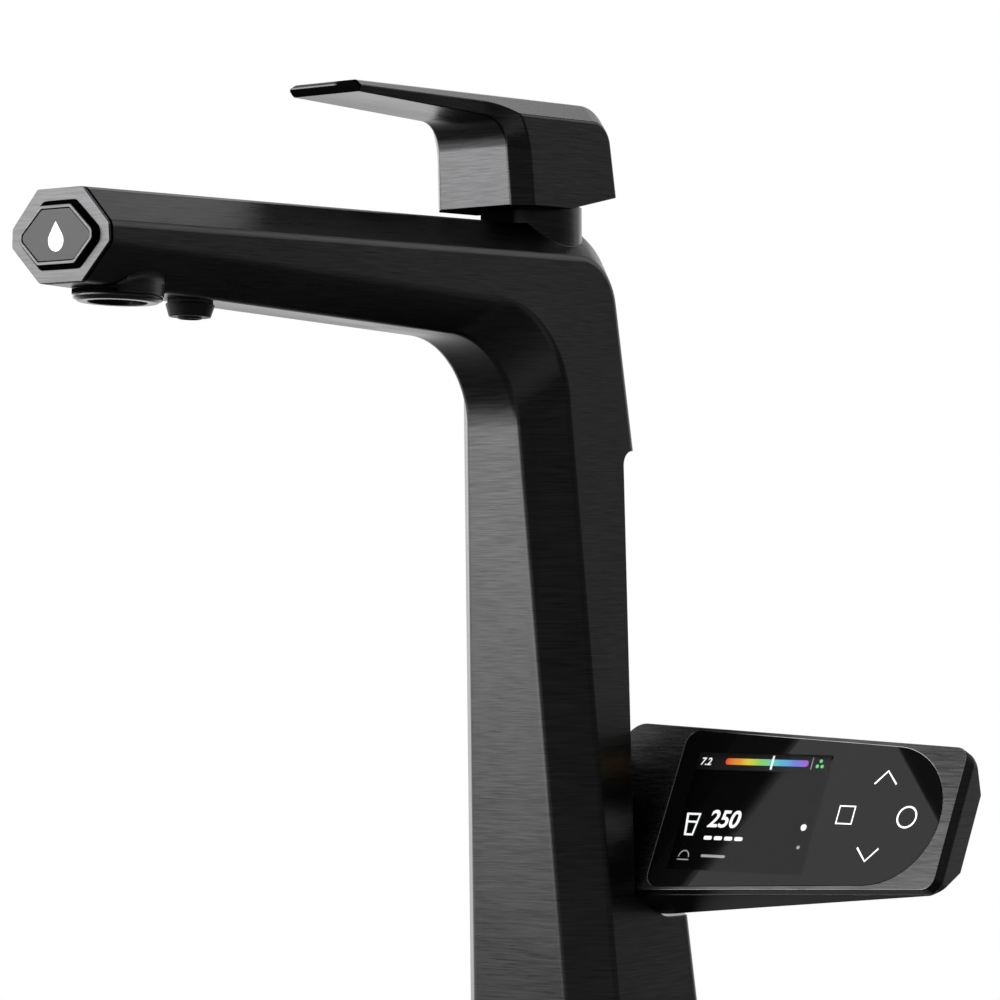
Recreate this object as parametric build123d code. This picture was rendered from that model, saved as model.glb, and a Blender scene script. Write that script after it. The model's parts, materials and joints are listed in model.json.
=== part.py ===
from build123d import *
import math
import os

# Kitchen mixer tap with a second outlet for treated water and a display pod.
# Millimetres. Z is up, the spout points along -Y, the display pod stands on the +X side.
# The origin is on the deck, on the axis of the threaded shank.

# Body, seen from the side
spout_top_z = 312.0
spout_end_y = -237.8
spout_end_height = 27.35
underside_slope = math.tan(math.radians(3.26))
front_foot_y = -33.4
front_lean = 0.0622
back_foot_y = 33.4
back_lean = 0.1174
inner_elbow_radius = 31.0
outer_elbow_radius = 25.0
outer_elbow_side_radius = 17.0
body_foot_z = 6.0

# Body, seen from the front: side faces lean in by the same slope all the way up
side_half_at_deck = 34.0
side_lean = 0.0467
top_flat_half = 9.4
top_chamfer_slope = 1.03
back_chamfer = 10.8
front_chamfer = 12.0
spout_chamfer_width = 12.0
spout_chamfer_slope = 0.957
wall = 4.0
cavity_half_width = 19.5
cutter_inner_x = 4.0
cutter_margin = 2.0
reach = 60.0

# Notch at the back of the column
notch_top_z = 239.7
notch_wall_top_y = -10.4
notch_lean = 0.0269
notch_foot_z = 97.0
notch_ledge_z = 89.6
notch_ledge_y = 1.0
notch_fillet = 5.0

# Neck, cartridge and lever
neck_y = -28.9
neck_radius = 16.3
neck_height = 6.0
neck_overlap = 1.4
cartridge_radius = 12.5
cartridge_clearance = 0.05
cartridge_pocket_depth = 45.5
seat_thickness = 4.5
chamber_wall = 2.5
cartridge_seal_height = 1.5
cartridge_height = 32.0
cartridge_wall = 1.4
cartridge_floor = 3.0
disc_thickness = 4.0
disc_radius = 10.6
disc_cavity_depth = 2.5
rotor_clearance = 0.06
rotor_height = 24.0
rotor_lip = 1.6
rotor_end_play = 0.3
pivot_height = 27.5
pin_radius = 1.5
pin_recess = 0.5
stem_width = 8.0
stem_clearance = 0.06
stem_foot_gap = 1.1
stem_foot_drop = 4.5
stem_rise = 34.0
nut_height = 5.0
nut_slot_width = 3.0
nut_slot_depth = 2.0
trim_ring_radius = 14.5
trim_ring_thickness = 1.2
lever_lift = 18.0

lever_height = 39.1
lever_tip_y = -127.5
lever_tip_rake = 1.7
lever_tip_height = 3.7
lever_tip_radius = 1.2
lever_underside_slope = 0.0513
lever_front_y = -56.3
lever_front_lean = 0.0622
lever_inner_radius = 10.0
lever_inner_side_radius = 28.0
lever_back_y = -3.5
lever_back_lean = 0.124
lever_outer_radius = 13.0
lever_outer_side_radius = 7.0
lever_side_half = 20.2
lever_side_lean = 0.035
lever_flat_half = 12.5
lever_top_chamfer_slope = 0.90
lever_back_chamfer = 6.0
lever_front_flat_half = 14.93
lever_plate_flat_half = 13.65
lever_plate_chamfer_slope = 2.2
lever_heel_y = -32.6
lever_heel_slope = 0.2044
lever_recess_radius = 18.8
lever_recess_height = 9.5
set_screw_radius = 2.5
set_screw_length = 6.0
set_screw_height = 29.0

# Spout end and its push button (half widths and heights below the spout top)
end_frame_thickness = 1.2
window_top_half = 6.65
window_side_half = 16.16
window_bottom_half = 8.1
window_top = 3.8
window_side_top = 12.2
window_side_bottom = 15.9
window_bottom = 23.35
window_corner = 2.4
collar_thickness = 1.15
collar_length = 3.0
collar_gap = 0.4
button_gap = 1.2
button_proud = 2.0
button_border = 1.0
button_corner = 1.8
button_wall = 2.0
button_flange_width = 1.8
button_flange_thickness = 1.6
button_travel = 1.2
lens_thickness = 2.0
lens_set_back = 0.2
lens_corner = 1.1
lens_gap = 0.25
drop_radius = 3.1
drop_height = 8.6
board_thickness = 1.6
board_half_width = 12.0
board_half_height = 7.0
board_screw_radius = 1.0
board_screw_length = 2.6
board_screw_inset = 2.2
board_screw_head = 0.8
switch_size = 6.0
switch_case_height = 1.6
switch_plunger_radius = 1.5
switch_plunger_height = 1.0
switch_gap = 0.1
spring_coil_radius = 4.8
spring_wire = 0.5
spring_turns = 3.0
tip_wall = 3.0

# Outlets, set square to the underside, the aerator from the spout's end and the nozzle from it
aerator_end_distance = 23.0
outlet_spacing = 29.8
aerator_y = spout_end_y + aerator_end_distance
nozzle_y = aerator_y + outlet_spacing
aerator_boss_radius = 13.4
aerator_boss_drop = 1.6
aerator_radius = 13.1
aerator_collar_drop = 1.8
aerator_rim_drop = 0.9
aerator_foot_radius = 11.6
aerator_bore = 8.9
aerator_thread_radius = 11.0
aerator_thread_length = 6.0
aerator_seal_height = 1.5
aerator_seal_width = 3.0
aerator_roof = 2.5
aerator_screen_set_back = 1.6
screen_hole_radius = 0.8
screen_ring_pitch = 2.3
screen_rim = 0.5
nozzle_top_radius = 7.38
nozzle_foot_radius = 6.22
nozzle_drop = 4.8
nozzle_lip = 0.6
nozzle_lip_radius = 3.6
nozzle_bore = 2.8
nozzle_spigot_radius = 4.6
nozzle_spigot_length = 6.0
nozzle_socket_depth = 3.0
nozzle_seal_height = 1.0
nozzle_seal_inset = 0.6
fit_gap = 0.05
screw_head_ratio = 1.8

# Water tubes
mixed_tube_radius = 4.5
mixed_port_height = 11.5
mixed_tube_depth = 10.0
mixed_rise_start_y = -48.0
mixed_rise_end_y = -100.0
treated_tube_radius = 3.175
treated_tube_depth = 18.6
treated_inlet_y = -7.0
tube_wall = 1.0
tube_clearance = 0.6
tube_bend_ratio = 5.0
tube_end_bend_ratio = 1.5
riser_radius = 4.0
riser_port_x = 6.0
riser_column_x = 11.0
riser_inlet_y = 4.0
riser_column_y = -26.5
riser_low_z = 92.0
riser_bend_drop = 46.5
tube_foot_z = -78.0

# Deck fixing
base_gasket_height = 1.5
base_ring_radius = 31.0
shank_radius = 16.5
shank_pilot_radius = 16.0
shank_pilot_length = 20.0
shank_bore = 13.0
shank_length = 60.0
spigot_radius = 20.0
spigot_height = 18.0
bush_thickness = 2.0
snap_ring_height = 1.5
snap_ring_depth = 1.2
snap_ring_width = 2.6
deck_thickness = 20.0
clamp_gasket_height = 3.0
clamp_washer_height = 2.5
clamp_washer_radius = 27.0
mounting_nut_height = 10.0
mounting_nut_hex = 46.0

# Guide rail and display pod
rail_x = -4.0
rail_base_width = 14.0
rail_base_thickness = 2.0
rail_neck_width = 6.0
rail_neck_thickness = 2.5
rail_head_width = 11.0
rail_head_thickness = 2.0
rail_foot_z = 100.0
rail_top_z = 234.0
rail_gap = 0.15
rail_screw_radius = 1.5
rail_screw_head = 2.6
rail_screw_inset = 12.0
rail_screw_end_gap = 1.2
rail_screw_recess = 0.3
rail_screw_count = 3

pod_tilt = 26.0
pod_foot_y = -14.4
pod_foot_z = 97.0
pod_centre = 31.0
pod_left = 6.0
pod_right = 142.7
pod_half_at_left = 29.75
pod_taper = 0.0449
pod_left_radius = 7.5
pod_right_radius = 4.5
pod_frame_thickness = 4.0
pod_depth_at_column = 20.3
pod_column_x = 29.0
pod_back_taper = 0.0721
pod_facet_half = 13.0
pod_facet_depth = 4.2
pod_ledge_gap = 0.5
pod_wall = 2.0
glass_left = 32.0
glass_thickness = 1.6
glass_margin = 1.3
glass_corner = 4.5
glass_round_radius = 23.2
glass_round_centre = 115.4
glass_ledge = 1.5
lcd_gap = 0.2
lcd_left = 37.0
lcd_width = 57.6
lcd_height = 43.2
lcd_corner = 0.5
touch_board_left = 30.0
touch_board_right = 130.5
touch_board_half = 18.0
touch_board_corner = 1.0
pod_gasket_thickness = 0.4
pod_screw_radius = 1.25
pod_boss_radius = 3.0
pod_screw_seat = 5.6
pod_screw_inset = 8.0
pod_screw_spread_left = 20.0
pod_screw_spread_right = 18.5
shoe_width = 18.0
shoe_depth = 11.0
shoe_top_z = 150.0
shoe_foot_inset = 2.0
shoe_foot_length = 10.0
shoe_flange_thickness = 4.0
shoe_flange_front = 7.0
shoe_flange_back = 16.0
shoe_root = 1.0
shoe_screw_low = 14.0
shoe_screw_high = 46.0
shoe_screw_margin = 4.0
pad_width = 8.0
pad_thickness = 3.0


def front_y(z):
    return front_foot_y - front_lean * z


def back_y(z):
    return back_foot_y - back_lean * z


def underside_z(y):
    return spout_top_z - spout_end_height - underside_slope * (y - spout_end_y)


def side_half(z):
    return side_half_at_deck - side_lean * z


def notch_wall_y(z):
    return notch_wall_top_y - notch_lean * (notch_top_z - z)


neck_top_z = spout_top_z + neck_height
seat_z = neck_top_z - cartridge_pocket_depth
pivot_z = seat_z + pivot_height
stem_foot_z = pivot_z - stem_foot_drop
stem_top_z = pivot_z + stem_rise
mixed_port_z = seat_z + mixed_port_height
mixed_tube_z = spout_top_z - mixed_tube_depth
treated_tube_z = spout_top_z - treated_tube_depth
riser_high_z = seat_z - riser_bend_drop
lever_top_z = spout_top_z + lever_height
set_screw_z = pivot_z + set_screw_height
lever_foot_z = neck_top_z - neck_overlap
frame_back_y = spout_end_y + end_frame_thickness
button_plate_y = frame_back_y + button_flange_thickness
board_front_y = button_plate_y + button_travel + switch_gap + switch_plunger_height + switch_case_height
pocket_back_y = board_front_y + board_thickness
button_centre_z = spout_top_z - (window_side_top + window_side_bottom) / 2
shank_top_z = body_foot_z + spigot_height
rotor_radius = cartridge_radius - cartridge_wall - rotor_clearance
cartridge_foot_z = seat_z + cartridge_seal_height
cartridge_top_z = cartridge_foot_z + cartridge_height
disc_foot_z = cartridge_foot_z + cartridge_floor
rotor_foot_z = disc_foot_z + 2 * disc_thickness
rotor_top_z = rotor_foot_z + rotor_height


def lever_front(z):
    return lever_front_y - lever_front_lean * (z - lever_foot_z)


def lever_back(z):
    return lever_back_y - lever_back_lean * (z - lever_foot_z)


def lever_half(z):
    return lever_side_half - lever_side_lean * (z - lever_foot_z)


def lever_underside_z(y):
    tip_underside_y = lever_tip_y + lever_tip_rake
    return lever_top_z - lever_tip_height - lever_underside_slope * (y - tip_underside_y)


def crossing(first, second):
    """Point where the line through two (y, z) points meets another such line."""
    (y1, z1), (y2, z2) = first
    (y3, z3), (y4, z4) = second
    det = (y1 - y2) * (z3 - z4) - (z1 - z2) * (y3 - y4)
    a = y1 * z2 - z1 * y2
    b = y3 * z4 - z3 * y4
    y = (a * (y3 - y4) - (y1 - y2) * b) / det
    z = (a * (z3 - z4) - (z1 - z2) * b) / det
    return y, z


def side_wire(x, corners):
    """Closed outline in the plane at x; each corner is (y, z, radius)."""
    points = [(x, y, z) for y, z, radius in corners]
    radii = [radius for y, z, radius in corners]
    return Wire(FilletPolyline(*points, radius=radii, close=True).edges())


def side_prism(corners, low_x, high_x):
    face = Face(side_wire(low_x, corners))
    return Solid.extrude(face, Vector(high_x - low_x, 0, 0))


def loft_between(wires):
    return Solid.make_loft(wires, ruled=True)


def leaning_wedge(half_at, low_z, high_z):
    """Slab between two side faces that lean towards each other."""
    low, high = half_at(low_z), half_at(high_z)
    outline = [(-low, low_z), (low, low_z), (high, high_z), (-high, high_z)]
    points = [(x, -2 * spout_top_z, z) for x, z in outline]
    face = Face(Wire(Polyline(*points, close=True).edges()))
    return Solid.extrude(face, Vector(0, 4 * spout_top_z, 0))


def upright(x, y, low_z, high_z, radius):
    base = Plane(origin=(x, y, low_z), z_dir=(0, 0, 1))
    return Solid.make_cylinder(radius, high_z - low_z, base)


def upright_ring(x, y, low_z, high_z, outer, inner):
    return upright(x, y, low_z, high_z, outer) - upright(x, y, low_z - 1, high_z + 1, inner)


def box_between(low, high):
    size = [b - a for a, b in zip(low, high)]
    return Solid.make_box(*size, Plane(origin=low))


def mirrored(shape):
    return mirror(shape, Plane.YZ)


# Body: the outer form, and the same form drawn in by a wall's thickness for the cavity


def slant(slope):
    """Shift along Z that moves a plane of this slope by one unit square to itself."""
    return math.sqrt(1 + slope ** 2)


def inner_chamfer_wire(x, inset):
    def spout_trace(y):
        z = underside_z(y)
        flat_half = side_half(z) - spout_chamfer_width
        return z + (x - flat_half) * spout_chamfer_slope + inset * slant(spout_chamfer_slope)

    def column_trace(z):
        return front_y(z) + x - (side_half(z) - front_chamfer) + inset * slant(1.0)

    far_y = spout_end_y - reach
    far, near = (far_y, spout_trace(far_y)), (0.0, spout_trace(0.0))
    top, foot = (column_trace(spout_top_z), spout_top_z), (column_trace(-reach), -reach)
    corner = crossing((far, near), (top, foot))
    return side_wire(x, [(*far, 0), (*corner, inner_elbow_radius + inset), (*foot, 0), (far_y, -reach, 0)])


def outer_chamfer_wire(x, inset):
    z = spout_top_z - (x - top_flat_half) * top_chamfer_slope - inset * slant(top_chamfer_slope)
    crease_half = side_half(spout_top_z)
    share = (x - top_flat_half) / (crease_half - top_flat_half)
    radius = outer_elbow_radius + share * (outer_elbow_side_radius - outer_elbow_radius) - inset

    def trace_y(height):
        return back_y(height) - (x - (side_half(height) - back_chamfer)) - inset * slant(1.0)

    high = spout_top_z + reach
    corner = crossing(((-1.0, z), (1.0, z)), ((trace_y(high), high), (trace_y(-reach), -reach)))
    far_y = spout_end_y - reach
    back = back_foot_y + 2 * reach
    return side_wire(x, [
        (far_y, z, 0), (*corner, max(radius, 1.0)), (trace_y(-reach), -reach, 0),
        (back, -reach, 0), (back, high, 0), (far_y, high, 0)])


def body_outline(inset, foot_z):
    """Side outline of column and spout, drawn in by inset."""
    low = (spout_end_y, underside_z(spout_end_y) + inset)
    front_top = (front_y(spout_top_z) + inset, spout_top_z)
    front_foot = (front_y(foot_z) + inset, foot_z)
    inner = crossing((low, (0.0, underside_z(0.0) + inset)), (front_top, front_foot))
    top = spout_top_z - inset
    return [
        (spout_end_y, top, 0), (back_y(top) - inset, top, outer_elbow_radius - inset),
        (back_y(foot_z) - inset, foot_z, 0), (*front_foot, 0),
        (*inner, inner_elbow_radius + inset), (*low, 0)]


def faceted_form(inset):
    """Column and spout with all their chamfers, every face drawn in by inset."""
    cutter_x = side_half_at_deck + cutter_margin
    form = side_prism(body_outline(inset, body_foot_z), -cutter_x, cutter_x)
    form = form & leaning_wedge(lambda z: side_half(z) - inset, -reach, spout_top_z + reach)
    for wire in (inner_chamfer_wire, outer_chamfer_wire):
        cutter = loft_between([wire(cutter_inner_x, inset), wire(cutter_x, inset)])
        form = form - cutter - mirrored(cutter)
    return form


def notch_cutter(margin):
    """Everything behind the notch wall; margin widens the notch on all sides."""
    far = back_foot_y + reach
    top, foot = notch_top_z + margin, notch_foot_z - margin
    outline = [
        (far, top, 0), (notch_wall_top_y - margin, top, notch_fillet),
        (notch_wall_y(notch_foot_z) - margin, foot, 0),
        (notch_ledge_y - margin, notch_ledge_z - margin, 0), (far, notch_ledge_z - margin, 0)]
    half = side_half_at_deck + cutter_margin
    return side_prism(outline, -half, half)


def cavity():
    """Hollow of column and spout, less what stays solid round the cartridge and the foot."""
    hollow = faceted_form(wall) - notch_cutter(wall)
    half = side_half_at_deck
    column_low = (-cavity_half_width, -reach * 2, shank_top_z)
    column_high = (cavity_half_width, reach, seat_z - seat_thickness)
    column = hollow & box_between(column_low, column_high)
    spout_low = (-half, pocket_back_y + tip_wall, shank_top_z)
    spout_high = (half, neck_y - cartridge_radius - chamber_wall, spout_top_z)
    spout = hollow & box_between(spout_low, spout_high)
    return column + spout


def outlet_plane(y):
    """Plane on the underside at y, its Z axis pointing out of the body."""
    angle = math.atan(underside_slope)
    return Plane(
        origin=(0, y, underside_z(y)), x_dir=(1, 0, 0),
        z_dir=(0, -math.sin(angle), -math.cos(angle)))


def outlet_point(y, drop):
    return outlet_plane(y).from_local_coords(Vector(0, 0, drop))


def outlet_cylinder(y, low, high, radius):
    """Cylinder square to the underside, from low to high below it."""
    plane = outlet_plane(y)
    start = Plane(origin=outlet_point(y, low), x_dir=plane.x_dir, z_dir=plane.z_dir)
    return Solid.make_cylinder(radius, high - low, start)


def outlet_cone(y, low, high, low_radius, high_radius):
    """Cone square to the underside, from low to high below it."""
    plane = outlet_plane(y)
    start = Plane(origin=outlet_point(y, low), x_dir=plane.x_dir, z_dir=plane.z_dir)
    return Solid.make_cone(low_radius, high_radius, high - low, start)


aerator_thread_top = aerator_boss_drop - aerator_thread_length
aerator_seat_top = aerator_thread_top - aerator_seal_height


def mixed_port(radius, length):
    """Bar along the cartridge's outlet, from its axis towards the spout."""
    plane = Plane(origin=(0, neck_y, mixed_port_z), z_dir=(0, -1, 0))
    return Solid.make_cylinder(radius, length, plane)


def faucet_body():
    tip = box_between((-reach, spout_end_y - 1, 0), (reach, frame_back_y, spout_top_z + 1))
    body = faceted_form(0.0) - tip - notch_cutter(0.0) - cavity()
    body = body + upright(0, neck_y, seat_z, neck_top_z, neck_radius)
    body = body + outlet_cylinder(aerator_y, aerator_seat_top - aerator_roof, aerator_boss_drop, aerator_boss_radius)
    body = body - upright(0, neck_y, seat_z, neck_top_z + 1, cartridge_radius + cartridge_clearance)
    body = body - hexagon_prism(frame_back_y - 1, pocket_back_y, button_gap + collar_thickness, window_corner)
    for x in (-riser_port_x, riser_port_x):
        body = body - upright(x, neck_y, seat_z - seat_thickness - 1, seat_z + 1, riser_radius + fit_gap)
    body = body - mixed_port(mixed_tube_radius + fit_gap, neck_radius + 1)
    bush = spigot_radius + bush_thickness + fit_gap
    body = body - upright(0, 0, body_foot_z - 1, shank_top_z + 1, bush)
    body = body - outlet_cylinder(
        aerator_y, aerator_seat_top, aerator_boss_drop + 1, aerator_thread_radius + fit_gap)
    body = body - outlet_cylinder(
        aerator_y, aerator_seat_top - aerator_roof - 1, 0, mixed_tube_radius + fit_gap)
    body = body - outlet_cylinder(nozzle_y, -nozzle_spigot_length, 1, nozzle_spigot_radius + fit_gap)
    for screw in rail_screws() + switch_board_screws():
        body = body - screw
    return body


# Spout end and push button


def grown(corners, growth):
    """Corners of a convex outline moved outwards so that every edge shifts by growth."""
    moved = []
    count = len(corners)
    for index, (x, z) in enumerate(corners):
        normals = []
        for a, b in ((index - 1, index), (index, (index + 1) % count)):
            run = (corners[b][0] - corners[a][0], corners[b][1] - corners[a][1])
            length = math.hypot(*run)
            normals.append((run[1] / length, -run[0] / length))
        (ax, az), (bx, bz) = normals
        scale = growth / (1 + ax * bx + az * bz)
        moved.append((x + (ax + bx) * scale, z + (az + bz) * scale))
    return moved


def window_corners():
    top, bottom = spout_top_z - window_top, spout_top_z - window_bottom
    side_top, side_bottom = spout_top_z - window_side_top, spout_top_z - window_side_bottom
    right = [
        (window_bottom_half, bottom), (window_side_half, side_bottom),
        (window_side_half, side_top), (window_top_half, top)]
    left = [(-x, z) for x, z in reversed(right)]
    return right + left


def hexagon_prism(low_y, high_y, growth, corner):
    """Prism of the window's outline, grown or shrunk all round, with rounded corners."""
    points = [(x, low_y, z) for x, z in grown(window_corners(), growth)]
    wire = Wire(FilletPolyline(*points, radius=corner, close=True).edges())
    return Solid.extrude(Face(wire), Vector(0, high_y - low_y, 0))


def spout_end_frame():
    plate = box_between((-reach, spout_end_y, 0), (reach, frame_back_y, spout_top_z + 1))
    frame = faceted_form(0.0) & plate
    collar_end = frame_back_y + collar_length
    frame = frame + hexagon_prism(frame_back_y, collar_end, button_gap + collar_thickness - fit_gap, window_corner)
    frame = frame - hexagon_prism(spout_end_y - 1, frame_back_y, 0, window_corner)
    flange = -button_gap + button_flange_width
    return frame - hexagon_prism(frame_back_y, collar_end + 1, flange + collar_gap, window_corner)


button_face_y = spout_end_y - button_proud
lens_front_y = button_face_y + lens_set_back
lens_back_y = lens_front_y + lens_thickness


def button_rim():
    rim = hexagon_prism(button_face_y, button_plate_y, -button_gap, button_corner)
    flange = -button_gap + button_flange_width
    rim = rim + hexagon_prism(frame_back_y, button_plate_y, flange, window_corner)
    lens_edge = -button_gap - button_border
    rim = rim - hexagon_prism(button_face_y - 1, lens_back_y, lens_edge, lens_corner)
    return rim - hexagon_prism(lens_back_y, frame_back_y, -button_gap - button_wall, lens_corner / 4)


def button_lens():
    lens = hexagon_prism(lens_front_y, lens_back_y, -button_gap - button_border - lens_gap, lens_corner)
    return lens - drop_prism(lens_front_y - 1, lens_back_y + 1, fit_gap)


def button_light_guide():
    return drop_prism(lens_front_y, lens_back_y, 0)


def drop_prism(low_y, high_y, growth):
    """A water drop: a round foot drawn up to a point, centred on the button."""
    radius = drop_radius + growth
    tip = drop_height - drop_radius + growth
    centre_z = button_centre_z + drop_radius - drop_height / 2
    angle = math.acos(radius / tip)
    x, z = radius * math.sin(angle), centre_z + radius * math.cos(angle)
    left, right = (-x, low_y, z), (x, low_y, z)
    foot = ThreePointArc(right, (0, low_y, centre_z - radius), left)
    point = (0, low_y, centre_z + tip)
    wire = Wire([*foot.edges(), *Line(left, point).edges(), *Line(point, right).edges()])
    return Solid.extrude(Face(wire), Vector(0, high_y - low_y, 0))


def facing_front(x, y, z):
    """Plane whose Z axis points towards the spout's tip."""
    return Plane(origin=(x, y, z), z_dir=(0, -1, 0))


def switch_board():
    low = (-board_half_width, board_front_y, button_centre_z - board_half_height)
    high = (board_half_width, pocket_back_y, button_centre_z + board_half_height)
    board = box_between(low, high)
    for screw in switch_board_screws():
        board = board - screw
    return board


def switch_board_screws():
    screws = []
    for x in (-board_half_width + board_screw_inset, board_half_width - board_screw_inset):
        start = facing_front(x, pocket_back_y + board_screw_length, button_centre_z)
        shaft = Solid.make_cylinder(board_screw_radius, board_screw_length + board_thickness, start)
        head = facing_front(x, board_front_y, button_centre_z)
        screws.append(shaft + Solid.make_cylinder(screw_head_ratio * board_screw_radius, board_screw_head, head))
    return screws


def tact_switch():
    half = switch_size / 2
    case_front = board_front_y - switch_case_height
    case = box_between(
        (-half, case_front, button_centre_z - half), (half, board_front_y, button_centre_z + half))
    plunger = facing_front(0, case_front, button_centre_z)
    return case + Solid.make_cylinder(switch_plunger_radius, switch_plunger_height, plunger)


def button_spring():
    """Compression spring round the switch, from the board to the button's back plate."""
    length = board_front_y - button_plate_y - spring_wire
    start = facing_front(0, board_front_y - spring_wire / 2, button_centre_z)
    path = Edge.make_helix(length / spring_turns, length, spring_coil_radius).moved(start.location)
    section = Wire.make_circle(spring_wire / 2, Plane(origin=path @ 0, z_dir=path % 0))
    return Solid.sweep(section, path=Wire([path]), is_frenet=True)


# Outlets


def aerator_collar():
    rim = aerator_boss_drop + aerator_rim_drop
    foot = aerator_boss_drop + aerator_collar_drop
    collar = outlet_cylinder(aerator_y, aerator_boss_drop, rim, aerator_radius)
    collar = collar + outlet_cone(aerator_y, rim, foot, aerator_radius, aerator_foot_radius)
    collar = collar + outlet_cylinder(aerator_y, aerator_thread_top, aerator_boss_drop, aerator_thread_radius)
    return collar - outlet_cylinder(aerator_y, aerator_thread_top - 1, foot + 1, aerator_bore)


def aerator_screen():
    foot = aerator_boss_drop + aerator_collar_drop - aerator_screen_set_back
    screen = outlet_cylinder(aerator_y, aerator_thread_top, foot, aerator_bore - fit_gap)
    plane = outlet_plane(aerator_y)
    rings = int((aerator_bore - screen_hole_radius - screen_rim) / screen_ring_pitch)
    spots = [(0.0, 0.0)]
    for ring in range(1, rings + 1):
        for step in range(6 * ring):
            angle = math.pi * step / (3 * ring)
            radius = ring * screen_ring_pitch
            spots.append((radius * math.cos(angle), radius * math.sin(angle)))
    holes = []
    for u, v in spots:
        start = plane.from_local_coords(Vector(u, v, aerator_thread_top - 1))
        hole = Plane(origin=start, x_dir=plane.x_dir, z_dir=plane.z_dir)
        holes.append(Solid.make_cylinder(screen_hole_radius, foot - aerator_thread_top + 2, hole))
    return screen.cut(*holes)


def aerator_seal():
    ring = outlet_cylinder(aerator_y, aerator_seat_top, aerator_thread_top, aerator_thread_radius)
    inner = aerator_thread_radius - aerator_seal_width
    return ring - outlet_cylinder(aerator_y, aerator_seat_top - 1, aerator_thread_top + 1, inner)


def treated_water_nozzle():
    foot = nozzle_drop + nozzle_lip
    nozzle = outlet_cone(nozzle_y, nozzle_seal_height, nozzle_drop, nozzle_top_radius, nozzle_foot_radius)
    nozzle = nozzle + outlet_cylinder(nozzle_y, nozzle_drop, foot, nozzle_lip_radius)
    spigot_top = -nozzle_spigot_length
    nozzle = nozzle + outlet_cylinder(nozzle_y, spigot_top, nozzle_seal_height, nozzle_spigot_radius)
    nozzle = nozzle - outlet_cylinder(nozzle_y, spigot_top - 1, foot + 1, nozzle_bore)
    socket = outlet_cylinder(
        nozzle_y, spigot_top - 1, spigot_top + nozzle_socket_depth, treated_tube_radius + fit_gap)
    return nozzle - socket


def nozzle_seal():
    ring = outlet_cylinder(nozzle_y, 0, nozzle_seal_height, nozzle_top_radius - nozzle_seal_inset)
    return ring - outlet_cylinder(nozzle_y, -1, nozzle_seal_height + 1, nozzle_spigot_radius + fit_gap)


# Water tubes, on straight runs joined by tangent arcs


def tube_along(points, radius, bends):
    path = Wire(FilletPolyline(*points, radius=bends).edges())
    start = Plane(origin=path @ 0, z_dir=path % 0)
    outer = Solid.sweep(Wire.make_circle(radius, start), path=path)
    inner = Solid.sweep(Wire.make_circle(radius - tube_wall, start), path=path)
    return outer - inner


def riser(side):
    inlet_x, port_x, column_x = [side * x for x in (riser_port_x, riser_port_x, riser_column_x)]
    points = [
        (inlet_x, riser_inlet_y, tube_foot_z), (inlet_x, riser_inlet_y, shank_top_z),
        (column_x, riser_column_y, riser_low_z), (column_x, riser_column_y, riser_high_z),
        (port_x, neck_y, seat_z - 3 * riser_radius), (port_x, neck_y, seat_z)]
    bend = tube_bend_ratio * riser_radius
    return tube_along(points, riser_radius, [bend, bend, bend, bend])


def mixed_water_tube():
    end = outlet_point(aerator_y, aerator_seat_top)
    up = outlet_point(aerator_y, -1) - outlet_point(aerator_y, 0)
    turn = end + up * ((mixed_tube_z - end.Z) / up.Z)
    points = [
        (0, neck_y - cartridge_radius, mixed_port_z), (0, mixed_rise_start_y, mixed_port_z),
        (0, mixed_rise_end_y, mixed_tube_z), tuple(turn), tuple(end)]
    bend = tube_bend_ratio * mixed_tube_radius
    return tube_along(points, mixed_tube_radius, [bend, bend, tube_end_bend_ratio * mixed_tube_radius])


def treated_water_tube():
    """Follows the inside of the front wall and of the inner elbow, out to the nozzle."""
    offset = wall + tube_clearance + treated_tube_radius
    low_z = riser_low_z
    end = outlet_point(nozzle_y, nozzle_socket_depth - nozzle_spigot_length)
    up = outlet_point(nozzle_y, -1) - outlet_point(nozzle_y, 0)
    turn = end + up * ((treated_tube_z - end.Z) / up.Z)
    column = ((front_y(low_z) + offset, low_z), (front_y(seat_z) + offset, seat_z))
    spout = ((neck_y, underside_z(neck_y) + offset), (turn.Y, turn.Z))
    elbow = crossing(column, spout)
    points = [
        (0, treated_inlet_y, tube_foot_z), (0, treated_inlet_y, shank_top_z), (0, *column[0]),
        (0, *elbow), tuple(turn), tuple(end)]
    bend = tube_bend_ratio * treated_tube_radius
    bends = [bend, bend, inner_elbow_radius + offset, tube_end_bend_ratio * treated_tube_radius]
    return tube_along(points, treated_tube_radius, bends)


# Cartridge


def cartridge_seal():
    low, high = seat_z, seat_z + cartridge_seal_height
    seal = upright(0, neck_y, low, high, cartridge_radius)
    for x in (-riser_port_x, riser_port_x):
        seal = seal - upright(x, neck_y, low - 1, high + 1, riser_radius)
    return seal


def cartridge_body():
    foot = cartridge_foot_z
    cup = upright(0, neck_y, foot, cartridge_top_z, cartridge_radius)
    cup = cup - upright(0, neck_y, disc_foot_z, cartridge_top_z + 1, cartridge_radius - cartridge_wall)
    cup = cup - mixed_port(mixed_tube_radius - tube_wall, cartridge_radius + 1)
    for x in (-riser_port_x, riser_port_x):
        cup = cup - upright(x, neck_y, foot - 1, foot + cartridge_floor + 1, riser_radius - tube_wall)
    return cup


def cartridge_fixed_disc():
    high = disc_foot_z + disc_thickness
    disc = upright(0, neck_y, disc_foot_z, high, cartridge_radius - cartridge_wall - fit_gap)
    for x in (-riser_port_x, riser_port_x):
        disc = disc - upright(x, neck_y, disc_foot_z - 1, high + 1, riser_radius - tube_wall)
    return disc


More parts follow.
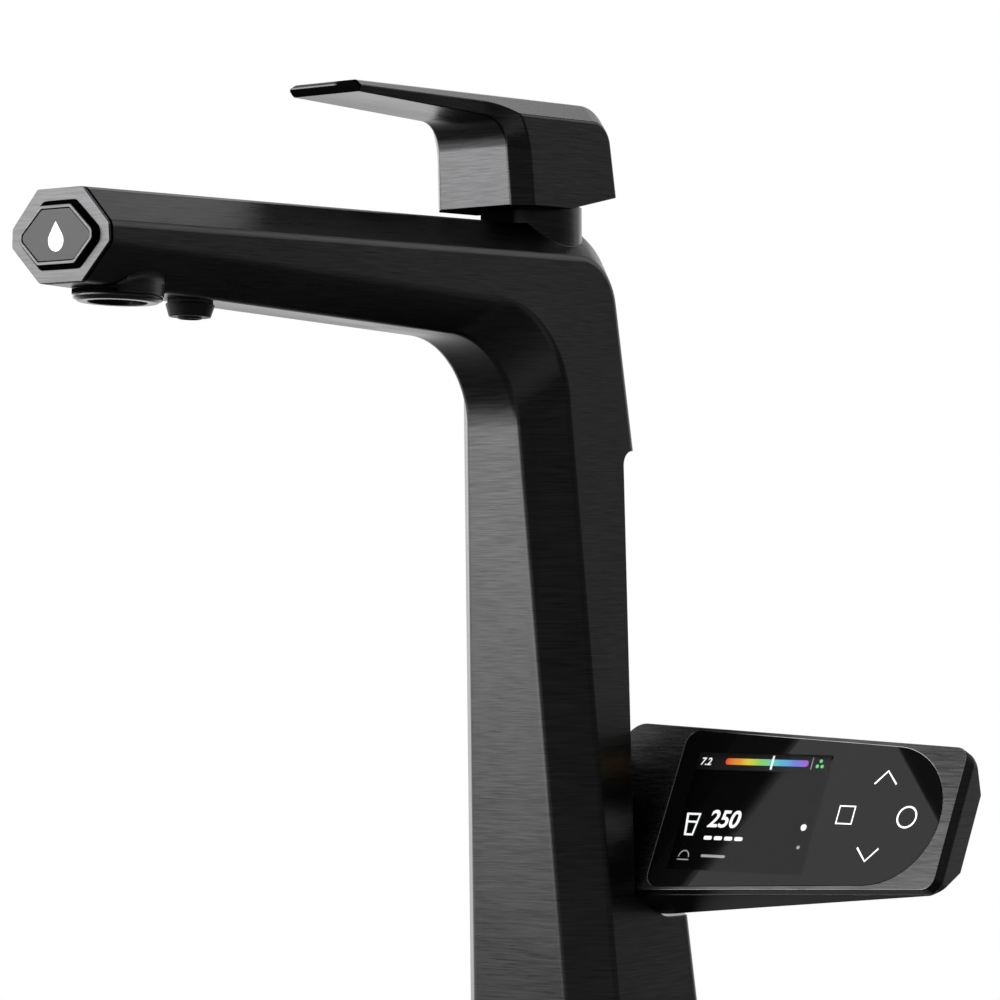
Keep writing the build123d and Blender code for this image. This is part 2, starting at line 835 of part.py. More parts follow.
def cartridge_moving_disc():
    low = disc_foot_z + disc_thickness
    disc = upright(0, neck_y, low, low + disc_thickness, disc_radius)
    cavity_radius = disc_radius - riser_radius
    return disc - upright(0, neck_y, low - 1, low + disc_cavity_depth, cavity_radius)


def cartridge_rotor():
    rotor = upright(0, neck_y, rotor_foot_z, cartridge_top_z - rotor_end_play, rotor_radius)
    rotor = rotor + upright(0, neck_y, rotor_foot_z, rotor_top_z, rotor_radius - rotor_lip)
    half = stem_width / 2 + stem_clearance
    lift = math.radians(lever_lift)
    back = half / math.cos(lift) + (rotor_top_z - pivot_z) * math.tan(lift) + fit_gap
    front = half / math.cos(lift) + (pivot_z - stem_foot_z) * math.tan(lift) + fit_gap
    low = (-half, neck_y - front, stem_foot_z - stem_foot_gap)
    rotor = rotor - box_between(low, (half, neck_y + back, rotor_top_z + 1))
    return rotor - cartridge_pivot_pin()


def cartridge_pivot_pin():
    half = rotor_radius - fit_gap - pin_recess
    plane = Plane(origin=(-half, neck_y, pivot_z), z_dir=(1, 0, 0))
    return Solid.make_cylinder(pin_radius, 2 * half, plane)


def cartridge_stem():
    half = stem_width / 2
    stem = box_between((-half, neck_y - half, stem_foot_z), (half, neck_y + half, stem_top_z))
    plane = Plane(origin=(-stem_width, neck_y, pivot_z), z_dir=(1, 0, 0))
    return stem - Solid.make_cylinder(pin_radius + fit_gap, 2 * stem_width, plane)


def cartridge_nut():
    low, high = cartridge_top_z, cartridge_top_z + nut_height
    inner = rotor_radius - rotor_lip + fit_gap
    ring = upright_ring(0, neck_y, low, high, cartridge_radius, inner)
    half = nut_slot_width / 2
    slot = box_between(
        (-cartridge_radius - 1, neck_y - half, high - nut_slot_depth),
        (cartridge_radius + 1, neck_y + half, high + 1))
    return ring - slot


def neck_trim_ring():
    high = neck_top_z + trim_ring_thickness
    return upright_ring(0, neck_y, neck_top_z, high, trim_ring_radius, cartridge_radius - cartridge_wall)


# Lever


def lever_inner_wire(x):
    """Front of the block and underside of the plate, in the plane at x."""
    spread = (lever_inner_side_radius - lever_inner_radius) / (lever_side_half - lever_plate_flat_half)
    radius = lever_inner_radius + (x - lever_plate_flat_half) * spread

    def plate_z(y):
        return lever_underside_z(y) + (x - lever_plate_flat_half) * lever_plate_chamfer_slope

    def block_y(z):
        flat = lever_front_flat_half - lever_side_lean * (z - lever_foot_z)
        return lever_front(z) + x - flat

    far_y, low_z = lever_tip_y - reach, lever_foot_z - reach
    far, near = (far_y, plate_z(far_y)), (0.0, plate_z(0.0))
    top, foot = (block_y(lever_top_z), lever_top_z), (block_y(low_z), low_z)
    corner = crossing((far, near), (top, foot))
    return side_wire(x, [(*far, 0), (*corner, radius), (*foot, 0), (far_y, low_z, 0)])


def lever_outer_wire(x):
    """Top of the plate and back of the block, in the plane at x."""
    z = lever_top_z - (x - lever_flat_half) * lever_top_chamfer_slope
    share = (x - lever_flat_half) / (lever_side_half - lever_flat_half)
    radius = lever_outer_radius + share * (lever_outer_side_radius - lever_outer_radius)

    def trace_y(height):
        return lever_back(height) - (x - (lever_half(height) - lever_back_chamfer))

    high, low = lever_top_z + reach, lever_foot_z - reach
    corner = crossing(((-1.0, z), (1.0, z)), ((trace_y(high), high), (trace_y(low), low)))
    far_y = lever_tip_y - reach
    return side_wire(x, [
        (far_y, z, 0), (*corner, radius), (trace_y(low), low, 0),
        (reach, low, 0), (reach, high, 0), (far_y, high, 0)])


def lever_form():
    tip_low_y = lever_tip_y + lever_tip_rake
    inner = crossing(
        ((tip_low_y, lever_underside_z(tip_low_y)), (0.0, lever_underside_z(0.0))),
        ((lever_front(lever_top_z), lever_top_z), (lever_front(lever_foot_z), lever_foot_z)))
    heel_z = lever_foot_z + lever_heel_slope * (lever_back_y - lever_heel_y)
    outline = [
        (lever_tip_y, lever_top_z, lever_tip_radius),
        (lever_back(lever_top_z), lever_top_z, lever_outer_radius),
        (lever_back(heel_z), heel_z, 0), (lever_heel_y, lever_foot_z, 0),
        (lever_front(lever_foot_z), lever_foot_z, 0), (*inner, lever_inner_radius),
        (tip_low_y, lever_underside_z(tip_low_y), lever_tip_radius)]
    outer_x = lever_side_half + cutter_margin
    form = side_prism(outline, -outer_x, outer_x)
    form = form & leaning_wedge(lever_half, lever_foot_z - reach, lever_top_z + reach)
    inner_cut = loft_between([lever_inner_wire(lever_plate_flat_half - 1), lever_inner_wire(outer_x)])
    outer_cut = loft_between([lever_outer_wire(lever_flat_half - 1), lever_outer_wire(outer_x)])
    for cutter in (inner_cut, outer_cut):
        form = form - cutter - mirrored(cutter)
    return form


def lever_handle():
    recess_top = lever_foot_z + lever_recess_height
    lever = lever_form() - upright(0, neck_y, lever_foot_z - 1, recess_top, lever_recess_radius)
    half = stem_width / 2 + fit_gap
    socket = box_between(
        (-half, neck_y - half, lever_foot_z), (half, neck_y + half, stem_top_z + fit_gap))
    screw_y = neck_y + stem_width / 2
    plane = Plane(origin=(0, screw_y, set_screw_z), z_dir=(0, 1, 0))
    return lever - socket - Solid.make_cylinder(set_screw_radius, reach, plane)


def lever_set_screw():
    screw_y = neck_y + stem_width / 2
    plane = Plane(origin=(0, screw_y, set_screw_z), z_dir=(0, 1, 0))
    screw = Solid.make_cylinder(set_screw_radius, set_screw_length, plane)
    key_plane = Plane(origin=(0, screw_y + set_screw_length / 2, set_screw_z), z_dir=(0, 1, 0))
    key = extrude(key_plane * RegularPolygon(radius=set_screw_radius / 2, side_count=6), amount=set_screw_length)
    return screw - key


# Deck fixing


def base_ring():
    return upright_ring(0, 0, base_gasket_height, body_foot_z, base_ring_radius, shank_radius + fit_gap)


def base_gasket():
    outer = base_ring_radius - base_gasket_height
    return upright_ring(0, 0, 0, base_gasket_height, outer, shank_radius + fit_gap)


snap_ring_z = shank_top_z - 2 * snap_ring_height


def threaded_shank():
    pilot_top = shank_pilot_length - shank_length
    shank = upright(0, 0, -shank_length, pilot_top, shank_pilot_radius)
    shank = shank + upright(0, 0, pilot_top, body_foot_z, shank_radius)
    shank = shank + upright(0, 0, body_foot_z, shank_top_z, spigot_radius)
    groove = upright_ring(
        0, 0, snap_ring_z, snap_ring_z + snap_ring_height, spigot_radius + 1, spigot_radius - snap_ring_depth)
    return shank - groove - upright(0, 0, -shank_length - 1, shank_top_z + 1, shank_bore)


def snap_ring():
    inner = spigot_radius - snap_ring_depth + fit_gap
    high = snap_ring_z + snap_ring_height
    ring = upright_ring(0, 0, snap_ring_z, high, inner + snap_ring_width, inner)
    half = snap_ring_width / 2
    return ring - box_between((-half, 0, snap_ring_z - 1), (half, reach, high + 1))


def swivel_bush():
    return upright_ring(0, 0, body_foot_z, snap_ring_z, spigot_radius + bush_thickness, spigot_radius + fit_gap)


def clamp_gasket():
    high = -deck_thickness
    return upright_ring(0, 0, high - clamp_gasket_height, high, clamp_washer_radius, shank_radius + fit_gap)


def clamp_washer():
    high = -deck_thickness - clamp_gasket_height
    return upright_ring(0, 0, high - clamp_washer_height, high, clamp_washer_radius, shank_radius + fit_gap)


def mounting_nut():
    low = -deck_thickness - clamp_gasket_height - clamp_washer_height - mounting_nut_height
    plane = Plane(origin=(0, 0, low), z_dir=(0, 0, 1))
    radius = mounting_nut_hex / math.sqrt(3)
    nut = extrude(plane * RegularPolygon(radius=radius, side_count=6), amount=mounting_nut_height)
    return nut - upright(0, 0, low - 1, low + mounting_nut_height + 1, shank_radius + fit_gap)


# Guide rail on the notch wall, and the shoe that carries the pod along it


def wall_strip(low_depth, high_depth, foot_z, top_z):
    """Side outline of a strip that lies along the notch wall, between two depths behind it."""
    low, high = notch_wall_y(foot_z), notch_wall_y(top_z)
    return [
        (low + low_depth, foot_z, 0), (low + high_depth, foot_z, 0),
        (high + high_depth, top_z, 0), (high + low_depth, top_z, 0)]


def rail_bar(width, low_depth, high_depth):
    strip = wall_strip(low_depth, high_depth, rail_foot_z, rail_top_z)
    return side_prism(strip, rail_x - width / 2, rail_x + width / 2)


rail_neck_depth = rail_base_thickness + rail_neck_thickness
rail_depth = rail_neck_depth + rail_head_thickness


def guide_rail():
    rail = rail_bar(rail_base_width, 0, rail_base_thickness)
    rail = rail + rail_bar(rail_neck_width, rail_base_thickness, rail_neck_depth)
    rail = rail + rail_bar(rail_head_width, rail_neck_depth, rail_depth)
    for place in rail_screw_places(-1):
        rail = rail - Solid.make_cylinder(rail_screw_head, rail_screw_recess + 1, place)
    for screw in rail_screws():
        rail = rail - screw
    return rail


def rail_screw_places(out):
    """Planes on the rail's screw spots, square to the wall: out is 0 at the heads, -1 before them."""
    pitch = (rail_top_z - rail_foot_z - 2 * rail_screw_inset) / (rail_screw_count - 1)
    places = []
    for index in range(rail_screw_count):
        z = rail_foot_z + rail_screw_inset + pitch * index
        y = notch_wall_y(z) + rail_depth - rail_screw_recess
        places.append(Plane(origin=(rail_x, y, z), z_dir=(0, -1, notch_lean)).offset(out * (rail_screw_recess + 1)))
    return places


def rail_screws():
    screws = []
    for head in rail_screw_places(0):
        shaft = Solid.make_cylinder(rail_screw_radius, rail_depth + wall - rail_screw_end_gap, head)
        screws.append(shaft + Solid.make_cone(rail_screw_head, rail_screw_radius, rail_screw_head / 2, head))
    return screws


def pod_shoe():
    near = rail_base_thickness + rail_gap
    foot, top = rail_foot_z, shoe_top_z
    low_x, high_x = pod_left - shoe_width, pod_left
    shoe = side_prism(wall_strip(near, shoe_depth, foot, top), low_x, high_x)
    root = near + shoe_root
    ledge_y = notch_ledge_y + shoe_foot_inset
    heel_y = ledge_y + shoe_foot_length
    lip = [
        (notch_wall_y(foot) + root, foot + shoe_foot_inset, 0), (notch_wall_y(foot) + root, foot, 0),
        (ledge_y, notch_ledge_z, 0), (heel_y, notch_ledge_z, 0), (heel_y, foot + shoe_foot_inset, 0)]
    shoe = shoe + side_prism(lip, low_x, high_x)
    flange_top = shoe_screw_high + shoe_screw_margin
    flange = [
        (notch_wall_y(foot) + root, foot, 0), (heel_y, foot, 0),
        (*pod_spot(flange_top, shoe_flange_back), 0), (*pod_spot(flange_top, shoe_flange_front), 0),
        (notch_wall_y(top) + root, top, 0)]
    shoe = shoe + side_prism(flange, high_x - shoe_flange_thickness, high_x)
    track = 2 * rail_gap
    slot = wall_strip(0, rail_neck_depth + 1, foot - reach, top + reach)
    shoe = shoe - side_prism(slot, rail_x - (rail_neck_width + track) / 2, rail_x + (rail_neck_width + track) / 2)
    channel = wall_strip(rail_neck_depth - rail_gap, rail_depth + rail_gap, foot - reach, top + reach)
    shoe = shoe - side_prism(channel, rail_x - (rail_head_width + track) / 2, rail_x + (rail_head_width + track) / 2)
    for screw in pod_shoe_screws():
        shoe = shoe - screw
    return shoe - pod_friction_pad()


def pod_friction_pad():
    """Block that presses on the rail's head and holds the pod at its height."""
    middle = (rail_foot_z + shoe_top_z) / 2
    half = pad_width / 2
    strip = wall_strip(rail_depth, rail_depth + pad_thickness, middle - half, middle + half)
    return side_prism(strip, rail_x - half, rail_x + half)


def pod_shoe_screws():
    screws = []
    for v in (shoe_screw_low, shoe_screw_high):
        y, z = pod_spot(v, (shoe_flange_front + shoe_flange_back) / 2)
        start = Plane(origin=(pod_left - shoe_flange_thickness, y, z), z_dir=(1, 0, 0))
        head = Plane(origin=(pod_left + pod_wall, y, z), z_dir=(1, 0, 0))
        shaft = Solid.make_cylinder(pod_screw_radius, shoe_flange_thickness + pod_wall, start)
        screws.append(shaft + Solid.make_cylinder(screw_head_ratio * pod_screw_radius, pod_screw_radius, head))
    return screws


# Display pod: u runs along X, v up the tilted face, and depth goes back and down


def pod_spot(v, depth):
    """The (y, z) place of a point v up the pod's face and depth behind it."""
    tilt = math.radians(pod_tilt)
    y = pod_foot_y + v * math.sin(tilt) + depth * math.cos(tilt)
    z = pod_foot_z + v * math.cos(tilt) - depth * math.sin(tilt)
    return y, z


def pod_point(u, v, depth):
    return (u, *pod_spot(v, depth))


def pod_inward():
    tilt = math.radians(pod_tilt)
    return Vector(0, math.cos(tilt), -math.sin(tilt))


def pod_half(u):
    return pod_half_at_left - pod_taper * (u - pod_left)


def pod_prism(corners, low_depth, high_depth):
    """Prism through the pod's thickness; each corner is (u, v, radius)."""
    points = [pod_point(u, v, low_depth) for u, v, radius in corners]
    radii = [radius for u, v, radius in corners]
    face = Face(Wire(FilletPolyline(*points, radius=radii, close=True).edges()))
    return Solid.extrude(face, pod_inward() * (high_depth - low_depth))


def pod_cylinder(u, v, low_depth, high_depth, radius):
    plane = Plane(origin=pod_point(u, v, low_depth), x_dir=(1, 0, 0), z_dir=pod_inward())
    return Solid.make_cylinder(radius, high_depth - low_depth, plane)


def pod_corners(inset):
    left, right = pod_left + inset, pod_right - inset
    at_left, at_right = pod_half(left) - inset, pod_half(right) - inset
    soft = max(pod_left_radius - inset, pod_right_radius / 4)
    tight = max(pod_right_radius - inset, pod_right_radius / 4)
    return [
        (left, pod_centre - at_left, soft), (right, pod_centre - at_right, tight),
        (right, pod_centre + at_right, tight), (left, pod_centre + at_left, soft)]


def glass_prism(low_depth, high_depth, growth):
    """The glass outline: straight at the left end, half round at the right end."""
    left = glass_left - growth
    radius = glass_round_radius + growth
    half = pod_half(glass_left) - glass_margin + growth
    straight = pod_prism([
        (left, pod_centre - half, glass_corner), (glass_round_centre, pod_centre - radius, 0),
        (glass_round_centre, pod_centre + radius, 0), (left, pod_centre + half, glass_corner)],
        low_depth, high_depth)
    return straight + pod_cylinder(glass_round_centre, pod_centre, low_depth, high_depth, radius)


def pod_frame():
    frame = pod_prism(pod_corners(0), 0, pod_frame_thickness)
    frame = frame - glass_prism(-1, glass_thickness, fit_gap)
    frame = frame - glass_prism(glass_thickness, pod_frame_thickness + 1, -glass_ledge)
    for screw in pod_housing_screws():
        frame = frame - screw
    return frame


def pod_glass():
    return glass_prism(0, glass_thickness, 0)


def pod_depth(u):
    return pod_depth_at_column - pod_back_taper * (u - pod_column_x)


def beyond(points, inside, inset):
    """Large block past the plane through three points, moved by inset towards the inside."""
    first, second, third = [Vector(*point) for point in points]
    normal = (second - first).cross(third - first).normalized()
    if (Vector(*inside) - first).dot(normal) > 0:
        normal = normal * -1
    along = (second - first).normalized()
    across = normal.cross(along)
    size = 8 * reach
    corner = first - normal * inset - along * (size / 2) - across * (size / 2)
    return Solid.make_box(size, size, size, Plane(origin=corner, x_dir=along, z_dir=normal))


def housing_form(inset, front_depth):
    """Faceted rear form of the pod; inset draws every outer face in."""
    form = pod_prism(pod_corners(inset), front_depth, pod_depth(pod_left) + pod_wall)
    inside = pod_point(pod_column_x, pod_centre, pod_frame_thickness)
    back = [
        pod_point(pod_left, pod_centre, pod_depth(pod_left)),
        pod_point(pod_right, pod_centre, pod_depth(pod_right)),
        pod_point(pod_left, 0, pod_depth(pod_left))]
    form = form - beyond(back, inside, inset)
    for side in (-1, 1):
        facet = [
            pod_point(pod_column_x, pod_centre + side * pod_half(pod_column_x), pod_depth_at_column),
            pod_point(pod_right, pod_centre + side * pod_half(pod_right), pod_facet_depth),
            pod_point(pod_right, pod_centre + side * pod_facet_half, pod_depth(pod_right))]
        form = form - beyond(facet, inside, inset)
    floor = notch_ledge_z + pod_ledge_gap + inset
    return form - box_between((-reach, -reach * 2, -reach), (pod_column_x, reach * 2, floor))


housing_front = pod_frame_thickness + pod_gasket_thickness


def housing_screw_spots():
    left, right = pod_left + pod_screw_inset, pod_right - pod_screw_inset
    spots = []
    for u, spread in ((left, pod_screw_spread_left), (right, pod_screw_spread_right)):
        spots += [(u, pod_centre - spread), (u, pod_centre + spread)]
    return spots


def pod_rear_housing():
    outside = housing_form(0, housing_front)
    housing = outside - housing_form(pod_wall, housing_front - 1)
    deep = 2 * pod_depth_at_column
    for u, v in housing_screw_spots():
        housing = housing + (pod_cylinder(u, v, housing_front, deep, pod_boss_radius) & outside)
    for u, v in housing_screw_spots():
        housing = housing - pod_cylinder(u, v, pod_screw_seat, deep, 2 * pod_screw_radius + fit_gap)
    for screw in pod_housing_screws() + pod_shoe_screws():
        housing = housing - screw
    return housing


def pod_housing_screws():
    screws = []
    for u, v in housing_screw_spots():
        shaft = pod_cylinder(u, v, pod_frame_thickness / 2, pod_screw_seat, pod_screw_radius)
        screws.append(shaft + pod_cylinder(u, v, pod_screw_seat, pod_screw_seat + pod_screw_radius, 2 * pod_screw_radius))
    return screws


def pod_gasket():
    outer = pod_prism(pod_corners(pod_gasket_thickness), pod_frame_thickness, housing_front)
    return outer - pod_prism(pod_corners(pod_wall), pod_frame_thickness - 1, housing_front + 1)


def plate_on_face(left, right, half, low_depth, high_depth, corner):
    return pod_prism([
        (left, pod_centre - half, corner), (right, pod_centre - half, corner),
        (right, pod_centre + half, corner), (left, pod_centre + half, corner)], low_depth, high_depth)


def lcd_panel():
    front = glass_thickness + lcd_gap
    return plate_on_face(lcd_left, lcd_left + lcd_width, lcd_height / 2, front, pod_frame_thickness, lcd_corner)


def touch_board():
    low = pod_frame_thickness
    return plate_on_face(
        touch_board_left, touch_board_right, touch_board_half, low, low + board_thickness, touch_board_corner)


makers = [
    faucet_body, spout_end_frame, button_rim, button_lens, button_light_guide, button_spring,
    switch_board, switch_board_screws, tact_switch,
    aerator_collar, aerator_screen, aerator_seal, treated_water_nozzle, nozzle_seal,
    mixed_water_tube, treated_water_tube,
    cartridge_seal, cartridge_body, cartridge_fixed_disc, cartridge_moving_disc, cartridge_rotor,
    cartridge_pivot_pin, cartridge_stem, cartridge_nut,
    neck_trim_ring, lever_handle, lever_set_screw,
    base_ring, base_gasket, threaded_shank, swivel_bush, snap_ring,
    clamp_gasket, clamp_washer, mounting_nut,
    guide_rail, rail_screws, pod_shoe, pod_shoe_screws, pod_friction_pad,
    pod_frame, pod_glass, pod_gasket, pod_rear_housing, pod_housing_screws, lcd_panel, touch_board,
]


def write(name, shape):
    """Writes one piece, or a group of like pieces, as one file."""
    group = shape if isinstance(shape, list) else [shape]
    solids = [solid for piece in group for solid in piece.solids()]
    print(name, len(solids), round(sum(solid.volume for solid in solids), 1))
    export_step(Compound(children=solids) if len(solids) > 1 else solids[0], f"parts/{name}.step")


os.makedirs("parts", exist_ok=True)
for maker in makers:
    write(maker.__name__, maker())
write("hot_riser", riser(-1))
write("cold_riser", riser(1))
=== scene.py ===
import bpy
import json
import math
from mathutils import Matrix, Vector

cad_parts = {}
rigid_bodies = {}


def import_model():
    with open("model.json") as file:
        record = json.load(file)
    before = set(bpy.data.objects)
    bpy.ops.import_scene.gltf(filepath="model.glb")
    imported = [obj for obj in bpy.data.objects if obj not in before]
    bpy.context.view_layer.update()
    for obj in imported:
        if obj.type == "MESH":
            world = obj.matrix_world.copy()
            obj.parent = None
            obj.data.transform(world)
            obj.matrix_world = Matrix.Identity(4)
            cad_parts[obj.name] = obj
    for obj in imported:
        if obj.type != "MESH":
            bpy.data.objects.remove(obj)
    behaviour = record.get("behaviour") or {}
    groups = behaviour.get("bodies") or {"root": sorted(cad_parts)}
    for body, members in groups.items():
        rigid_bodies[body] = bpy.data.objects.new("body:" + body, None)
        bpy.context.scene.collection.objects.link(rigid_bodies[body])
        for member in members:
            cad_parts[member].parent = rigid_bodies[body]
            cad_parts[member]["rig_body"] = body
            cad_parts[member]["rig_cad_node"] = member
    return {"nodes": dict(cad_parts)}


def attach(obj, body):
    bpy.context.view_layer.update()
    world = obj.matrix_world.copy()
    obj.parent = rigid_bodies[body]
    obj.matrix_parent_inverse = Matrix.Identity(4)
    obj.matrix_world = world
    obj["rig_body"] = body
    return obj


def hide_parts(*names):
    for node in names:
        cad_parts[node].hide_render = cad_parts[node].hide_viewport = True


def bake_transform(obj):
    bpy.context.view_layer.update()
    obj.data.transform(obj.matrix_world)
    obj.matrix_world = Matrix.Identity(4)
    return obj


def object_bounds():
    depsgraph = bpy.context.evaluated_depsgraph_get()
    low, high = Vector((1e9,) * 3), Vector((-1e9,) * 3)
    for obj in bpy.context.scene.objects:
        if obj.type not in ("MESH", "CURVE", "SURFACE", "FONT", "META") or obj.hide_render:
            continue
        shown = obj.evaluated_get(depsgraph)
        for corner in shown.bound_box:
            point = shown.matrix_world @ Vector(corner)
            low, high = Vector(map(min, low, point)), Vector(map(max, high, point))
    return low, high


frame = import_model()
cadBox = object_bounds()
nodes = frame["nodes"]
mm = 0.001
print("frame loaded:", len(nodes), "nodes")

# Sight: the picture's own viewing angle, a little below the spout and looking slightly up
sight = {
    "place": (0.92808, -1.12415, 0.20159),
    "azimuth": 40.7,
    "elevation": -0.9,
    "roll": -0.35,
    "lens": 160.56,
    "filmWidth": 36.0,
    "nearest": 0.05,
}


def addCamera(sight):
    azimuth, elevation, roll = (math.radians(sight[key]) for key in ("azimuth", "elevation", "roll"))
    level = math.cos(elevation)
    back = Vector((math.sin(azimuth) * level, -math.cos(azimuth) * level, math.sin(elevation)))
    right = Vector((math.cos(azimuth), math.sin(azimuth), 0.0))
    up = back.cross(right)
    across = right * math.cos(roll) + up * math.sin(roll)
    above = up * math.cos(roll) - right * math.sin(roll)
    camera = bpy.data.objects.new("camera", bpy.data.cameras.new("camera"))
    bpy.context.scene.collection.objects.link(camera)
    turn = Matrix((across, above, back)).transposed().to_4x4()
    camera.matrix_world = Matrix.Translation(sight["place"]) @ turn
    camera.data.lens = sight["lens"]
    camera.data.sensor_width = sight["filmWidth"]
    camera.data.clip_start = sight["nearest"]
    bpy.context.scene.camera = camera


addCamera(sight)
bpy.context.scene.view_settings.view_transform = "Standard"
print("camera placed")


# Shader maths: a socket that can stand in a sum, and the painter that adds the nodes
class Flow:
    def __init__(self, paint, socket):
        self.paint, self.socket = paint, socket

    def sum(self, operation, *others):
        return self.paint.node("ShaderNodeMath", {"operation": operation}, (self, *others))

    def swapped(self, operation, other):
        return self.paint.node("ShaderNodeMath", {"operation": operation}, (other, self))

    def __add__(self, other): return self.sum("ADD", other)
    def __radd__(self, other): return self.sum("ADD", other)
    def __sub__(self, other): return self.sum("SUBTRACT", other)
    def __rsub__(self, other): return self.swapped("SUBTRACT", other)
    def __mul__(self, other): return self.sum("MULTIPLY", other)
    def __rmul__(self, other): return self.sum("MULTIPLY", other)
    def __truediv__(self, other): return self.sum("DIVIDE", other)
    def __rtruediv__(self, other): return self.swapped("DIVIDE", other)
    def size(self): return self.sum("ABSOLUTE")
    def below(self, edge): return self.sum("LESS_THAN", edge)
    def above(self, edge): return self.sum("GREATER_THAN", edge)
    def most(self, other): return self.sum("MAXIMUM", other)


class Paint:
    def __init__(self, name, owner=None):
        self.material = owner or bpy.data.materials.new(name)
        self.material.use_nodes = True
        self.tree = self.material.node_tree
        self.tree.nodes.clear()

    def node(self, kind, settings=None, inputs=(), output=0):
        made = self.tree.nodes.new(kind)
        for key, value in (settings or {}).items():
            setattr(made, key, value)
        pairs = inputs.items() if isinstance(inputs, dict) else enumerate(inputs)
        for key, value in pairs:
            if isinstance(value, Flow):
                self.tree.links.new(value.socket, made.inputs[key])
            else:
                made.inputs[key].default_value = value
        return Flow(self, made.outputs[output]) if made.outputs else made

    def split(self, vector):
        first = self.node("ShaderNodeSeparateXYZ", None, (vector,))
        made = first.socket.node
        return [Flow(self, made.outputs[index]) for index in range(3)]

    def place(self):
        return self.split(self.node("ShaderNodeTexCoord", output="Object"))

    def vector(self, x, y, z):
        return self.node("ShaderNodeCombineXYZ", None, (x, y, z))

    def reach(self, x, y):
        flat = self.vector(x, y, 0.0)
        return self.node("ShaderNodeVectorMath", {"operation": "LENGTH"}, (flat,), output="Value")

    def noise(self, vector, scale, detail=2.0, rough=0.5):
        return self.node("ShaderNodeTexNoise", None, {
            "Vector": vector, "Scale": scale, "Detail": detail, "Roughness": rough})

    def ease(self, value, low, high, first=0.0, last=1.0):
        return self.node("ShaderNodeMapRange", {"interpolation_type": "SMOOTHSTEP"}, {
            "Value": value, "From Min": low, "From Max": high, "To Min": first, "To Max": last})

    def fade(self, value, edges, first=1.0, last=0.0):
        return self.ease(value, edges[0] * mm, edges[1] * mm, first, last)

    def blend(self, factor, first, second):
        made = self.tree.nodes.new("ShaderNodeMix")
        made.data_type = "RGBA"
        for name, value in (("Factor_Float", factor), ("A_Color", first), ("B_Color", second)):
            socket = next(item for item in made.inputs if item.identifier == name)
            if isinstance(value, Flow):
                self.tree.links.new(value.socket, socket)
            elif name == "Factor_Float":
                socket.default_value = value
            else:
                socket.default_value = (*value, 1.0)
        return Flow(self, next(item for item in made.outputs if item.identifier == "Result_Color"))

    def bump(self, height, depth):
        return self.node("ShaderNodeBump", None, {"Height": height, "Distance": depth, "Strength": 1.0})

    def finish(self, sockets, ink=None):
        given = {key: (*value, 1.0) if isinstance(value, tuple) else value for key, value in sockets.items()}
        surface = self.node("ShaderNodeBsdfPrincipled", None, given)
        # Where a painted shade mask is given, a near-black diffuse is mixed in by it
        if ink:
            paintedShadeSurface = self.node("ShaderNodeBsdfDiffuse", None, {"Color": (*paintedShadeColour, 1.0)})
            surface = self.node("ShaderNodeMixShader", None, (ink, surface, paintedShadeSurface))
        self.node("ShaderNodeOutputMaterial", None, {"Surface": surface})
        return self.material


# Zones of the metal that are painted black as shade, where recesses, seams and undersides fall dark, in
# millimetres and with the facing's share along an axis
paintedShadeColour = (0.003, 0.003, 0.003)
# Painted shade on the body: the notch behind the pod, the neck's front-left under the lever, the aerator boss's
# front and a dark line at the end plate's seam
bodyPaintedShade = {
    "notchFacing": 0.97, "notchFront": -8.0, "notchLow": 85.0, "notchHigh": 240.0,
    "neckLow": 310.6, "neckBack": (-31.0, -25.0), "neckRight": (5.0, 12.0),
    "bossHigh": 284.6, "bossBack": (-226.0, -220.0), "bossSteep": 0.6, "seam": -236.15,
}
# Painted shade: a dark line on the end plate's rear edge, in the seam with the body
platePaintedShade = {"seam": -237.2}
# Painted shade: the button rim's walls and flange behind its front, deep in the window
rimPaintedShade = {"seam": -239.4}
# Painted shade on the lever: its underside, round the neck's bore and on the tip's lower and right faces
leverPaintedShade = {
    "footHigh": 325.0, "footFacing": -0.5, "boreY": -28.9, "boreRadius": 19.2, "boreHigh": 322.0,
    "tip": -125.4, "tipFacing": -0.15, "tipRight": (4.0, 6.0),
}
# Painted shade on the pod frame's faces that turn towards +x
podPaintedShade = {"facing": 0.5, "share": 0.85}


# Each takes the place and the facing, and gives the share of painted shade, 0 to 1
def paintedShadeOnBody(paint, x, y, z, facing):
    ink = bodyPaintedShade
    # Painted shade in the notch, on the neck under the lever, on the boss's front and in the end plate's seam
    notch = facing[1].above(ink["notchFacing"]) * y.below(ink["notchFront"] * mm)
    notch = notch * z.above(ink["notchLow"] * mm) * z.below(ink["notchHigh"] * mm)
    neck = z.above(ink["neckLow"] * mm) * paint.fade(y, ink["neckBack"]) * paint.fade(x, ink["neckRight"])
    boss = z.below(ink["bossHigh"] * mm) * paint.fade(y, ink["bossBack"])
    boss = boss * facing[2].size().below(ink["bossSteep"])
    return notch.most(neck).most(boss).most(y.below(ink["seam"] * mm))


def paintedShadeOnPlate(paint, x, y, z, facing):
    # The plate's rear edge is painted dark as shade in the seam
    return y.above(platePaintedShade["seam"] * mm)


def paintedShadeOnRim(paint, x, y, z, facing):
    # The rim's walls behind its front are painted dark as shade in the window's depth
    return y.above(rimPaintedShade["seam"] * mm)


def paintedShadeOnLever(paint, x, y, z, facing):
    ink = leverPaintedShade
    # Painted shade on the underside, round the bore and on the tip
    foot = z.below(ink["footHigh"] * mm) * facing[2].below(ink["footFacing"])
    bore = paint.reach(x, y - ink["boreY"] * mm).below(ink["boreRadius"] * mm) * z.below(ink["boreHigh"] * mm)
    tipSide = facing[2].below(ink["tipFacing"]).most(paint.fade(x, ink["tipRight"], 0.0, 1.0))
    return foot.most(bore).most(y.below(ink["tip"] * mm) * tipSide)


def paintedShadeOnPod(paint, x, y, z, facing):
    # The faces turned towards +x are painted darker as shade
    return facing[0].above(podPaintedShade["facing"]) * podPaintedShade["share"]


